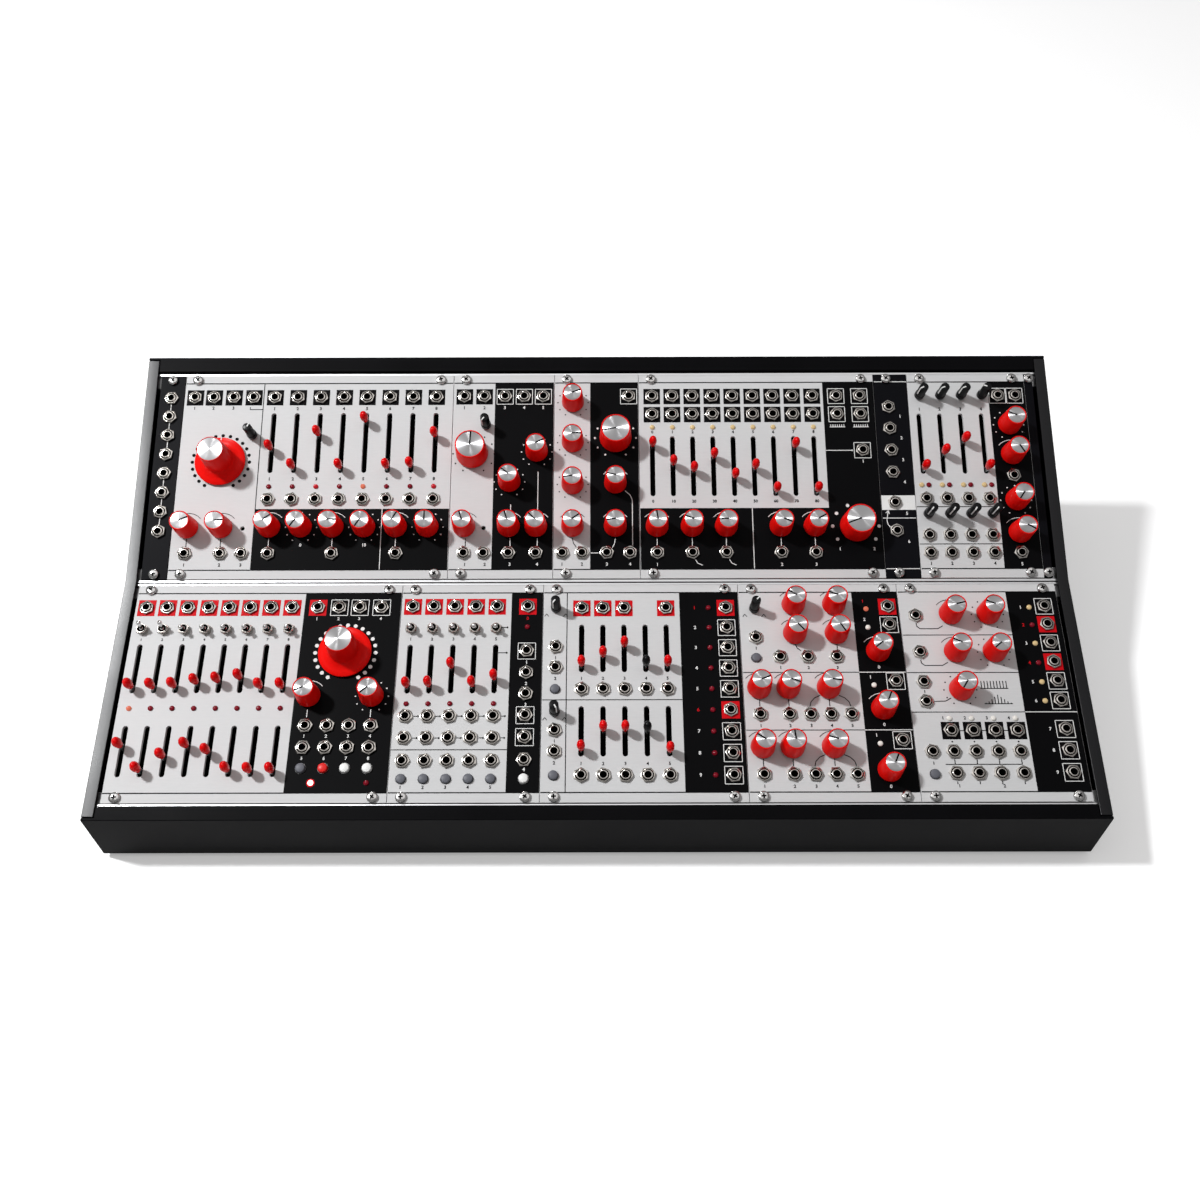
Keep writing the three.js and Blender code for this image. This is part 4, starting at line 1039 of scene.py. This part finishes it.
# Lines are sorted by their ink and given as runs of points.
lines = {
    "passive_multiple": {
        white: [
            [(7.62, low + 4), (7.62, high - 4)]
            for index, (low, high) in enumerate(zip(multipleVs, multipleVs[1:])) if index != 3
        ],
    },
    "harmonic_oscillator": {
        black: [[(63.2, 43), (63.2, 123.5)], [(55.5, 108), (55.5, 106.5), (63, 106.5)]]
        + uprights(19.6, 24.6, 24.5, 44.5),
        white: uprights(5.7, 43, 138) + uprights(19.6, 24.6, 72.5, 109.6, 146.6),
    },
    "dual_waveform_oscillator": {
        black: uprights(19.6, 24.6, 187.5),
        white: uprights(66, 39, 229.5) + uprights(45.5, 39, 213.6) + uprights(19.6, 24.6, 213.6, 229.5),
    },
    "amplifier_and_tone": {
        black: [[(250, 24.6), (250.6, 21.5), (252.4, 18.9)]],
        white: [
            [(275.1, 24.6), (274.6, 21.2), (273.4, 18.6)], [(260.6, 15.5), (265.4, 15.5)],
            [(280.9, 54), (284, 51.2), (285.2, 48), (285.2, 20)],
        ],
    },
    "multitap_delay": {
        white: uprights(5.7, 42.8, 355.7) + uprights(19.6, 24.6, 299.5, 320, 339.9, 371.9, 391.8)
        + [[(x, 11.4), (x + 1.2, 9.2), (x + 4, 7.9)] for x in (321.6, 341.4)]
        + arrow(400.9, 79.2, 417, 79.2) + comb(404, 413.2, 94.3, [1.6] * 7)
        + comb(418.1, 427.3, 94.3, [1.6] * 7),
    },
    "noise_and_filter": {
        white: levels(432.2, 451.7, 123.7, 36.5, 5.5) + [
            [(436.4, 30.6), (434.9, 32.6), (434.4, 35), (435, 38.6), (435.6, 41)],
            [(434, 39.6), (435.6, 41.2), (436.1, 39)],
        ],
    },
    "scan_and_pan": {black: levels(452.5, 500.7, 43.5, 20.5)},
    "multistage_sequencer": {white: uprights(48.2, 52.6, 105, 139.9)},
    "stage_selector": {
        black: levels(152.8, 215.5, 29.4) + arrow(209, 101.8, 214, 101.8) + arrow(207, 86.2, 214, 86.2)
        + [
            mark for v in (48.6, 36.1) for left, right in zip(choiceXs, choiceXs[1:])
            for mark in arrow(left + 4.6, v, right - 4.6, v, 0.8)
        ]
        + arrow(choiceXs[-1] + 4.6, 48.6, 214.2, 48.6, 0.8)
        + arrow(choiceXs[-1] + 4.6, 36.1, 214.2, 36.1, 0.8),
    },
    "multi_envelope": {black: uprights(5.7, 123.5, 247.3) + levels(234, 311.5, 58)},
    "voltage_processor": {
        black: levels(345.8, 410.5, 74, 40.2) + uprights(53.9, 58.1, 354, 370.1, 392.5)
        + uprights(19.8, 24, 354, 370.1, 392.5)
        + [[(399.6, 87.6), (399.6, 91)], [(376.1, 91), (377, 88.8), (379, 87)]]
        + [
            [(x, v), (x + reach * 0.08, v + 2.6), (x + reach * 0.35, v + 5), (x + reach * 0.72, v + 6.4)]
            for v in (53.9, 19.8) for x, reach in ((381.6, 8.4), (404, -8.4))
        ],
        white: levels(410.5, 436.5, 74, 40.2),
    },
    "random_sampler": {
        black: levels(437.2, 499.2, 96.5, 73.7, 50.4)
        + [
            [(445.7, v), (445.9, v - 2), (447.6, v - 3.4), (457.6, v - 3.4), (460.6, v - 1.6)]
            for v in (103.8, 81.4)
        ]
        + [[(450.4, 56.6), (456.6, 56.8), (459.8, 58.6)]] + levels(452, 493.2, 20.6)
        + uprights(20.6, 23.4, *registerXs) + uprights(9.6, 11.2, *registerXs)
        + [[(left + 5, 39.7), (right - 5, 39.7)] for left, right in zip(registerXs, registerXs[1:])]
        + comb(476.6, 492.2, 64.2, [4.4] * 9)
        + comb(477.8, 493.4, 55.2, [0.6, 1.4, 2.6, 4, 5.2, 4, 2.6, 1.4, 0.6]),
        white: levels(499.2, 527.9, 50.4),
    },
}
dots = {
    "harmonic_oscillator": [(black, 1.05, arc(40.6, 72.6, 17, -150, 150, 21))],
    "multistage_sequencer": [
        # the red disc under the lit lamp at (110.95, 11.05) is its red glow painted on the panel: a painted
        # pool of light
        (white, 1.15, arc(122.83, 86.35, 17, -150, 150, 21)), (red, 2.3, [(110.95, 11.05)]),
    ],
    "dual_waveform_oscillator": [(black, 0.5, arc(190.97, 77.6, 12.3, -150, 150, 11))],
    "amplifier_and_tone": [(white, 0.6, arc(275.5, 87.5, 12.3, -150, 150, 11))],
    "multitap_delay": [(white, 1.05, arc(416, 31.4, 13.6, -125, 125, 8))],
    "random_sampler": [(black, 0.45, [(x, 33.4) for x in registerXs])],
}
# What is printed round each knob, in the order of its module's table
scales = {
    "harmonic_oscillator": "--aaadadad",
    "dual_waveform_oscillator": "--ddaaa",
    "amplifier_and_tone": "-dddaaa",
    "multitap_delay": "-aaaaa",
    "scan_and_pan": "--------dada",
    "multistage_sequencer": "-ad",
    "multi_envelope": "cc",
    "voltage_processor": "caaaaaaaaaaaa",
    "random_sampler": "adadd",
}
# Rows of plain numbers: ink, height of the figures, v, places, then first and step where not 1
numbers = {
    "harmonic_oscillator": [
        (black, 1.9, 106.9, harmonicXs), (black, 1.9, 61.8, harmonicXs),
        (black, 1.9, 8.6, [24.2, 44.8, 57.2]), (white, 1.9, 20.6, [91.2, 128.3], 0, 10),
        (black, 1.9, 107.4, [21.9, 33.3, 45.3]),
    ],
    "dual_waveform_oscillator": [
        (black, 1.9, 107.2, [184.6, 196.7]), (white, 1.9, 107.2, [209, 220.6, 232.1], 3),
        (black, 1.9, 8.6, [187.5, 199.1]), (white, 1.9, 8.6, [213.6, 229.5], 3),
    ],
    "amplifier_and_tone": [
        (black, 1.9, 8.6, [244, 255.6]), (white, 1.9, 8.6, [270.1, 283.6], 3),
    ],
    "multitap_delay": [
        (black, 1.8, 91.2, tapXs, 0), (black, 1.8, 47.2, tapXs, 0, 10),
        (white, 1.9, 8.2, [299.5, 371.8, 391.8]), (white, 1.9, 17.6, [406, 426]),
        (white, 1.9, 72.2, [422.7]),
    ],
    "noise_and_filter": countUp(1.9, 446.5, [101, 87, 73, 59, 39.3, 22]),
    "scan_and_pan": [
        (black, 1.9, 105.6, channelXs), (black, 1.9, 8.6, channelXs), (white, 1.9, 8.2, [511.2], 5),
    ],
    "multistage_sequencer": [
        (white, 1.8, 37.2, pulseXs),
        (white, 1.8, 24.6, pulseXs, 5, 1),
        (white, 1.8, 107.3, [104.7, 117, 128.8, 141.1]), (black, 1.5, 94.6, stageXs),
    ],
    "stage_selector": [
        (black, 1.8, 94.6, choiceXs), (black, 1.8, 8.4, choiceXs), (red, 1.9, 107.3, [224.9], 0),
    ] + countUp(1.9, 224.9, [80.4, 67.6, 55.2, 18.2]),
    "multi_envelope": [
        (black, 1.8, 70.6, segmentXs), (black, 1.8, 21.4, segmentXs), (black, 1.8, 83, [241.1]),
        (black, 1.8, 70.6, [241.1], 2), (black, 1.8, 34.2, [241.1]), (black, 1.8, 21.8, [241.1], 2),
    ] + countUp(2, 320, vsOf(reversed(gates)), reds=(0, 5)),
    "voltage_processor": [
        (black, 1.8, 8.6, inputXs), (black, 1.8, 42.7, inputXs), (black, 1.8, 76.8, [367, 382.6, 398.8]),
        (black, 1.8, 88.6, [354]), (red, 1.9, 117.6, [416.5]), (white, 1.9, 106.2, [416.5], 2),
        (white, 1.9, 71, [416.5]), (white, 1.9, 37.2, [416.5]), (white, 1.9, 77, [421.9], 0),
        (white, 1.9, 43.2, [421.4], 0), (white, 1.9, 8.4, [421.4], 0),
    ],
    "random_sampler": [
        (black, 1.8, 46.9, [x - 3.4 for x in registerXs]), (black, 1.8, 62.3, [445.7]),
        (black, 1.8, 21.2, [445.7]), (black, 1.8, 8.6, [458, 482]),
    ] + countUp(1.9, 506.4, vsOf(samples), reds=(1, 3))
    + countUp(1.9, 511.5, vsOf([0.315, 0.221, 0.125]), 7),
}
paleGrounds = {"noise_and_filter": [(432, 451.9, 41.6, 50.6)]}
trimmerHoles = {"harmonic_oscillator": [(56.7, 31)], "dual_waveform_oscillator": [(197.9, 31)]}

printLooks = ["blackPrint", "whitePrint", "redPrint"]
printed = {
    "low": -0.02, "lift": 0.04, "zone": 0.06, "square": 0.1, "figure": 0.06, "clear": 0.12, "line": 0.45,
    "fine": 0.36, "frame": 0.4, "border": 0.6, "borderEnd": 0.4, "borders": (5.5, 123.5), "dot": 0.42,
    "squareHalf": 5, "frameHalf": 4.9, "ring": 3.1, "dotReach": 9.1, "dotSpan": (-150, 150, 11),
    "arcReach": 9.2, "arcSpan": (-50, 50, 8), "caretReach": 5.4, "caret": (1.2, 4.6, 3),
}
holes = {"jack": 2.9, "button": 2.9, "shaft": 3.4, "slimShaft": 2, "trimmer": 1.3}
board = {"side": 2, "end": 10, "back": -12.6, "front": -11, "edge": 0.15}
sliderLooks = ["capPlastic", "blackPlastic", "leverSteel"]
buttonLooks = ["greyPlastic", "whitePlastic", "redButton"]
lampLooks = list(lampSpecs)
numberShapes = {}


def stampLine(bm, look, width, points):
    for (x0, v0), (x1, v1) in zip(points, points[1:]):
        reach = math.hypot(x1 - x0, v1 - v0)
        heading = math.atan2(v1 - v0, x1 - x0)
        place = Matrix.Translation((x0, v0, printed["lift"])) @ Matrix.Rotation(heading, 4, "Z")
        stamp(bm, barShape, place @ Matrix.Diagonal((reach, width, 1, 1)), look)


def stampDots(bm, look, radius, points):
    for x, v in points:
        place = Matrix.Translation((x, v, printed["lift"])) @ Matrix.Diagonal((radius, radius, 1, 1))
        stamp(bm, dotShape, place, look)


def inside(zone, x, v):
    return zone[0] <= x <= zone[1] and zone[2] <= v <= zone[3]


def outlineOf(opening, wider=0):
    kind, x, low, high = opening
    if kind == "round":
        return circle(x, low, high + wider)
    return slotOutline(x, low - wider, high + wider, slider["slot"] + wider * 2)


def stampPrint(bm, name, borders, openings, jacks, knobs):
    def inkAt(x, v):
        return white if any(inside(zone, x, v) for zone in zones.get(name, [])) else black

    low, clear, fine, half = printed["low"], printed["clear"], printed["fine"], printed["squareHalf"]
    for look, areas in ((black, zones), (white, paleGrounds)):
        for area in areas.get(name, []):
            held = [outlineOf(opening, clear) for opening in openings if inside(area, *opening[1:3])]
            stamp(bm, flatMesh("zone", [box(*area)] + held, low, printed["zone"]), look=look)
    for ground, look in (("black", black), ("red", red)):
        spots = [(x, v) for x, v, *own in jacks if own == [ground]]
        if spots:
            squares = [box(x - half, x + half, v - half, v + half) for x, v in spots]
            rings = [circle(x, v, printed["ring"]) for x, v in spots]
            stamp(bm, flatMesh("squares", squares + rings, low, printed["square"]), look=look)
    half = printed["frameHalf"]
    for x, v, *ground in jacks:
        if ground == ["outline"]:
            corners = box(x - half, x + half, v - half, v + half)
            stampLine(bm, inkAt(x, v), printed["frame"], corners + corners[:1])
    for points in borders:
        stampLine(bm, black, printed["border"], points)
    for look, runs in lines.get(name, {}).items():
        for points in runs:
            stampLine(bm, look, printed["line"], points)
    for look, radius, points in dots.get(name, []):
        stampDots(bm, look, radius, points)
    for (kind, x, v, *more), mark in zip(knobs, scales.get(name, "")):
        if mark == "d":
            stampDots(bm, inkAt(x, v), printed["dot"], arc(x, v, printed["dotReach"], *printed["dotSpan"]))
        elif mark == "a":
            stampLine(bm, inkAt(x, v), fine, arc(x, v, printed["arcReach"], *printed["arcSpan"]))
        elif mark == "c":
            wide, foot, tip = printed["caret"]
            for side in (x - printed["caretReach"], x + printed["caretReach"]):
                caret = [(side - wide, v - foot), (side, v - tip), (side + wide, v - foot)]
                stampLine(bm, inkAt(x, v), fine, caret)
    for look, tall, v, places, *count in numbers.get(name, []):
        first, step = (*count, 1, 1)[:2]
        for index, x in enumerate(places):
            text = str(first + index * step)
            if (text, tall) not in numberShapes:
                numberShapes[(text, tall)] = numberMesh(text, tall)
            stamp(bm, numberShapes[(text, tall)], Matrix.Translation((x, v, printed["figure"])), look)


def dressModule(spec, rowName):
    name, height = spec["name"], rack["height"]
    start, width = spans[name]
    node = name + "_module"
    place = rowMatrix(rowName)

    def spotOf(share, v):
        return start + width * share, height * v

    def add(part, bm, looks, slotName, soften=30, loose=None):
        # a piece of the module, or of one loose control; an empty one is left out
        if not len(bm.verts):
            bm.free()
        elif loose:
            finishPiece(loose + part, bm, looks, loose, place, loose, soften)
        else:
            finishPiece(name + part, bm, looks, "synthesizer", place, node, soften)

    jacks = [
        (*spotOf(share, v), *ground) for v, shares, *ground in spec.get("jacks", []) for share in shares
    ]
    knobs = spec.get("otherKnobs", []) + [("small", *entry) for entry in spec.get("smallKnobs", [])]
    knobs = [(kind, *spotOf(share, v), *more) for kind, share, v, *more in knobs]
    buttons = [(*spotOf(share, v), *more) for share, v, *more in spec.get("buttons", [])]
    sliders = [
        (start + width * share, height * bank["low"], height * bank["high"], bank, index)
        for bank in spec.get("sliders", []) for index, share in enumerate(bank["places"])
    ]
    openings = [("round", *entry[:2], holes["jack"]) for entry in jacks]
    openings += [("round", *entry[:2], holes["button"]) for entry in buttons]
    openings += [
        ("round", x, y, holes["slimShaft" if kind == "slim" else "shaft"])
        for kind, x, y, angle, *loose in knobs if loose
    ]
    openings += [("round", x, y, holes["trimmer"]) for x, y in trimmerHoles.get(name, [])]
    openings += [("slot", *entry[:3]) for entry in sliders]

    # the plate and its print
    half = rack["gap"] / 2
    outlines = [box(start + half, start + width - half, 0, height)]
    outlines += [outlineOf(opening) for opening in openings]
    bm = bmesh.new()
    stamp(bm, flatMesh(name + "_plate", outlines, -rack["thickness"], 0, rack["edge"]))
    shade = "dark" if spec.get("dark") else "light"
    add("_panel", bm, [shade + "Panel"], shade + "_panel", 25)
    if not spec.get("bare"):
        left, right = start + printed["borderEnd"], start + width - printed["borderEnd"]
        borders = levels(left, right, *printed["borders"]) if shade == "light" else []
        bm = bmesh.new()
        stampPrint(bm, name, borders, openings, jacks, knobs)
        add("_print", bm, printLooks, "dark_panel")

    # jacks and screws, each turned its own way
    bm = bmesh.new()
    for index, (x, y, *ground) in enumerate(jacks):
        stamp(bm, jackShape, at(x, y, turn=index * nutTurns["step"] % nutTurns["whole"]))
    add("_jacks", bm, ["nickel", "darkBoreAndPaintedShade"], "bright_metal")
    bm = bmesh.new()
    for index, x in enumerate(spot for spot in screwPlaces[rowName] if start < spot < start + width):
        for y in screwHeights:
            turn = (index * screwTurns["step"] + y * screwTurns["upStep"]) % screwTurns["whole"]
            stamp(bm, screwShape, at(x, y, turn=turn))
    add("_screws", bm, ["screwSteel", "darkBoreAndPaintedShade"], "bright_metal")

    # knobs
    fixed = bmesh.new()
    for kind, x, y, angle, *loose in knobs:
        bm = bmesh.new() if loose else fixed
        stamp(bm, knobMeshes[(kind, bool(loose))], at(x, y, turn=angle))
        if loose:
            add("_cap", bm, knobLooks, "black_plastic" if kind == "slim" else "red_plastic", 32, loose[0])
    add("_knobs", fixed, knobLooks, "red_plastic", 32)

    # sliders
    levers, bodies = bmesh.new(), bmesh.new()
    for x, low, high, bank, index in sliders:
        stamp(bodies, sliderBodyMesh(high - low), at(x, (low + high) / 2))
        y = low + slider["end"] + bank["travel"][index] * (high - low - 2 * slider["end"])
        loose = bank.get("loose", {}).get(index)
        bm = bmesh.new() if loose else levers
        stamp(bm, capShape, at(x, y), look=1 if index in bank.get("black", []) else 0)
        stamp(bm, leverShape, at(x, y), look=2)
        if loose:
            add("_lever", bm, sliderLooks, "red_plastic", 32, loose)
    add("_levers", levers, sliderLooks, "red_plastic", 32)
    add("_slider_bodies", bodies, ["darkBoreAndPaintedShade"], "black_plastic")

    # toggles
    bases, bats = bmesh.new(), bmesh.new()
    for share, v, lean, *loose in spec.get("toggles", []):
        x, y = spotOf(share, v)
        stamp(bases, toggleBaseShape, at(x, y))
        bm = bmesh.new() if loose else bats
        stamp(bm, batShape, at(x, y, toggle["pivot"], lean=lean * toggle["lean"]))
        if loose:
            add("_bat", bm, ["chrome"], "bright_metal", 40, loose[0])
    add("_toggle_nuts", bases, ["nickel", "darkBoreAndPaintedShade"], "bright_metal")
    add("_toggle_bats", bats, ["chrome"], "bright_metal", 40)

    # buttons
    wells, caps = bmesh.new(), bmesh.new()
    for x, y, look, *loose in buttons:
        stamp(wells, buttonWellShape, at(x, y))
        bm = bmesh.new() if loose else caps
        stamp(bm, buttonShape, at(x, y), look=0 if loose else buttonLooks.index(look))
        if loose:
            add("_cap", bm, [look], "grey_plastic", 35, loose[0])
    add("_button_wells", wells, ["darkBoreAndPaintedShade"], "black_plastic")
    add("_buttons", caps, buttonLooks, "grey_plastic", 35)

    # lamps
    bm = bmesh.new()
    for v, shares, look in spec.get("lamps", []):
        for share in shares:
            stamp(bm, lampShape, at(*spotOf(share, v)), look=lampLooks.index(look))
    add("_lamps", bm, lampLooks, "red_plastic", 40)

    # the ribbon down to the bus board
    if not spec.get("bare") and name != "passive_multiple":
        bm = bmesh.new()
        y, low = ribbonRuns[rowName]["y"], ribbon["low"]
        middle = rowStart + start + width / 2
        for index in range(ribbon["wires"]):
            x = middle + ribbon["pitch"] * (index - (ribbon["wires"] - 1) / 2)
            stamp(bm, wireShapes[rowName], Matrix.Translation((x, y, low)), look=1 if index == 0 else 0)
        stamp(bm, ribbonPlug, Matrix.Translation((middle, y, low)), look=2)
        looks = ["ribbonGrey", "redPrint", "blackPlastic"]
        finishPiece(name + "_ribbon", bm, looks, "synthesizer", toMetres, node, 50)

    # the board behind
    if not spec.get("bare"):
        bm = bmesh.new()
        low = (start + board["side"], board["end"], board["back"])
        high = (start + width - board["side"], height - board["end"], board["front"])
        stamp(bm, blockMesh(name + "_board", low, high, board["edge"]), look=0)
        for x, y, *ground in jacks:
            stamp(bm, socketShape, at(x, y), look=1)
        for kind, x, y, *more in knobs:
            stamp(bm, potShape, at(x, y), look=1)
        add("_board", bm, ["boardMask", "blackPlastic"], "board")


for rowName, modules in (("rear", rearModules), ("front", frontModules)):
    for spec in modules:
        dressModule(spec, rowName)
    print(rowName, "row dressed")

# The case, its rails, feet, and what is inside and at the rear, from the frame's own solids

lipSlope = 0.75
busLevels = {"posts": 11.05, "board": 12.75}
inlet = {"x": -190, "z": 43.3, "bore": 3.25, "pin": 1.05}
rocker = {
    "place": (-150, 132.574, 43.3), "lean": 8, "slope": 10.3, "mark": 3.6, "rise": 0.26,
    "bar": (0.25, 1.3), "rings": (1.4, 0.95), "low": -0.05, "high": 0.04,
}


def busLook(face):
    # posts below the board, the board itself, and the headers on it
    level = face.calc_center_median().z * 1000
    if level < busLevels["posts"]:
        return 1
    return 2 if level > busLevels["board"] else 0


def paintedSheenLook(face):
    # the lip's upward faces get a lighter, glossier copy of the same black coat, a painted sheen; the wall
    # keeps the plain coat
    return 1 if face.normal.z > lipSlope else 0


def inletLook(face):
    # a dark bore round the pin
    spot = face.calc_center_median() * 1000
    reach = math.hypot(spot.x - inlet["x"], spot.z - inlet["z"])
    return 1 if inlet["pin"] < reach < inlet["bore"] else 0


def addRockerMarks(bm):
    # a bar at one end and a ring at the other, in white
    pose = toMetres @ Matrix.Translation(rocker["place"]) @ turned(rocker["lean"] - 90, "X")
    (wide, tall), low, high = rocker["bar"], rocker["low"], rocker["high"]
    bar = blockMesh("bar_mark", (-wide, -tall, low), (wide, tall, high))
    ring = flatMesh("ring_mark", [circle(0, 0, radius, 20) for radius in rocker["rings"]], low, high)
    for side, mark in ((-1, bar), (1, ring)):
        spot = Matrix.Translation((side * rocker["mark"], 0, rocker["rise"]))
        stamp(bm, mark, pose @ spot @ turned(-side * rocker["slope"], "Y"), look=1)


caseSide = {
    "looks": ["powderCoat", "paintedSheenCoat"], "sort": paintedSheenLook, "bend": 0.45, "steps": 2, "slot": "black_steel",
}
rail = {"looks": ["railAluminium"], "bend": 0.2, "steps": 1, "slot": "rail_aluminium"}
foot = {"looks": ["footRubber"], "bend": 0.4, "steps": 2, "slot": "foot_rubber"}
carried = {
    "case_tray": {"looks": ["powderCoat"], "bend": 0.5, "steps": 2, "slot": "black_steel"},
    "left_case_side": caseSide, "right_case_side": caseSide,
    "front_row_lower_rail": rail, "front_row_upper_rail": rail,
    "rear_row_lower_rail": rail, "rear_row_upper_rail": rail,
    "power_bus_board": {
        "looks": ["boardMask", "nickel", "blackPlastic"], "sort": busLook, "bend": 0.15, "steps": 1,
        "slot": "board",
    },
    "power_switch_housing": {"looks": ["blackPlastic"], "bend": 0.35, "steps": 2, "slot": "black_plastic"},
    "power_switch_rocker": {
        "looks": ["blackPlastic", "whitePrint"], "marks": addRockerMarks, "bend": 0.35, "steps": 2,
        "slot": "black_plastic", "body": "power_switch_rocker",
    },
    "power_inlet": {
        "looks": ["nickel", "darkBoreAndPaintedShade"], "sort": inletLook, "bend": 0.25, "steps": 1, "slot": "bright_metal",
    },
    "front_left_foot": foot, "front_right_foot": foot, "rear_left_foot": foot, "rear_right_foot": foot,
}


shellRules = {"weld": 0.000002, "flat": math.radians(1), "sharp": math.radians(20)}


def carryOver(nodeName, spec):
    bm = bmesh.new()
    bm.from_mesh(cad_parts[nodeName].data)
    bmesh.ops.remove_doubles(bm, verts=bm.verts[:], dist=shellRules["weld"])
    bmesh.ops.dissolve_limit(bm, angle_limit=shellRules["flat"], verts=bm.verts[:], edges=bm.edges[:])
    sharp = [
        edge for edge in bm.edges
        if len(edge.link_faces) == 2 and edge.calc_face_angle() > shellRules["sharp"]
    ]
    bmesh.ops.bevel(
        bm, geom=sharp, offset=spec["bend"] * 0.001, segments=spec["steps"], profile=0.5, affect="EDGES",
        material=-1, clamp_overlap=True,
    )
    for face in bm.faces:
        face.material_index = spec["sort"](face) if "sort" in spec else 0
    shell = asMesh(bm, nodeName + "_shell")
    bm = bmesh.new()
    stamp(bm, shell)
    if "marks" in spec:
        spec["marks"](bm)
    body = spec.get("body", "synthesizer")
    piece = finishPiece(nodeName + "_shell", bm, spec["looks"], body, None, nodeName, 30)
    # the flat faces stay flat and only the bent edges shade round
    flat = piece.modifiers.new("flat_faces", "WEIGHTED_NORMAL")
    flat.keep_sharp = True
    flat.weight = 100


for nodeName, spec in carried.items():
    carryOver(nodeName, spec)
print("case dressed")

floorMaterial = bpy.data.materials.new("studio_floor")
floorMaterial.use_nodes = True
floorShader = floorMaterial.node_tree.nodes["Principled BSDF"]
floorShader.inputs["Base Color"].default_value = (*studio["floor"], 1)
floorShader.inputs["Roughness"].default_value = studio["floorRough"]
floorShader.inputs["Emission Color"].default_value = (1, 1, 1, 1)
floorShader.inputs["Emission Strength"].default_value = studio["floorGlow"]
bpy.ops.mesh.primitive_plane_add(size=studio["floorWidth"], location=(0, 0, -studio["floorDrop"]))
floor = bpy.context.object
floor.name = "studio_floor"
floor.data.materials.append(floorMaterial)

print("scene ready")
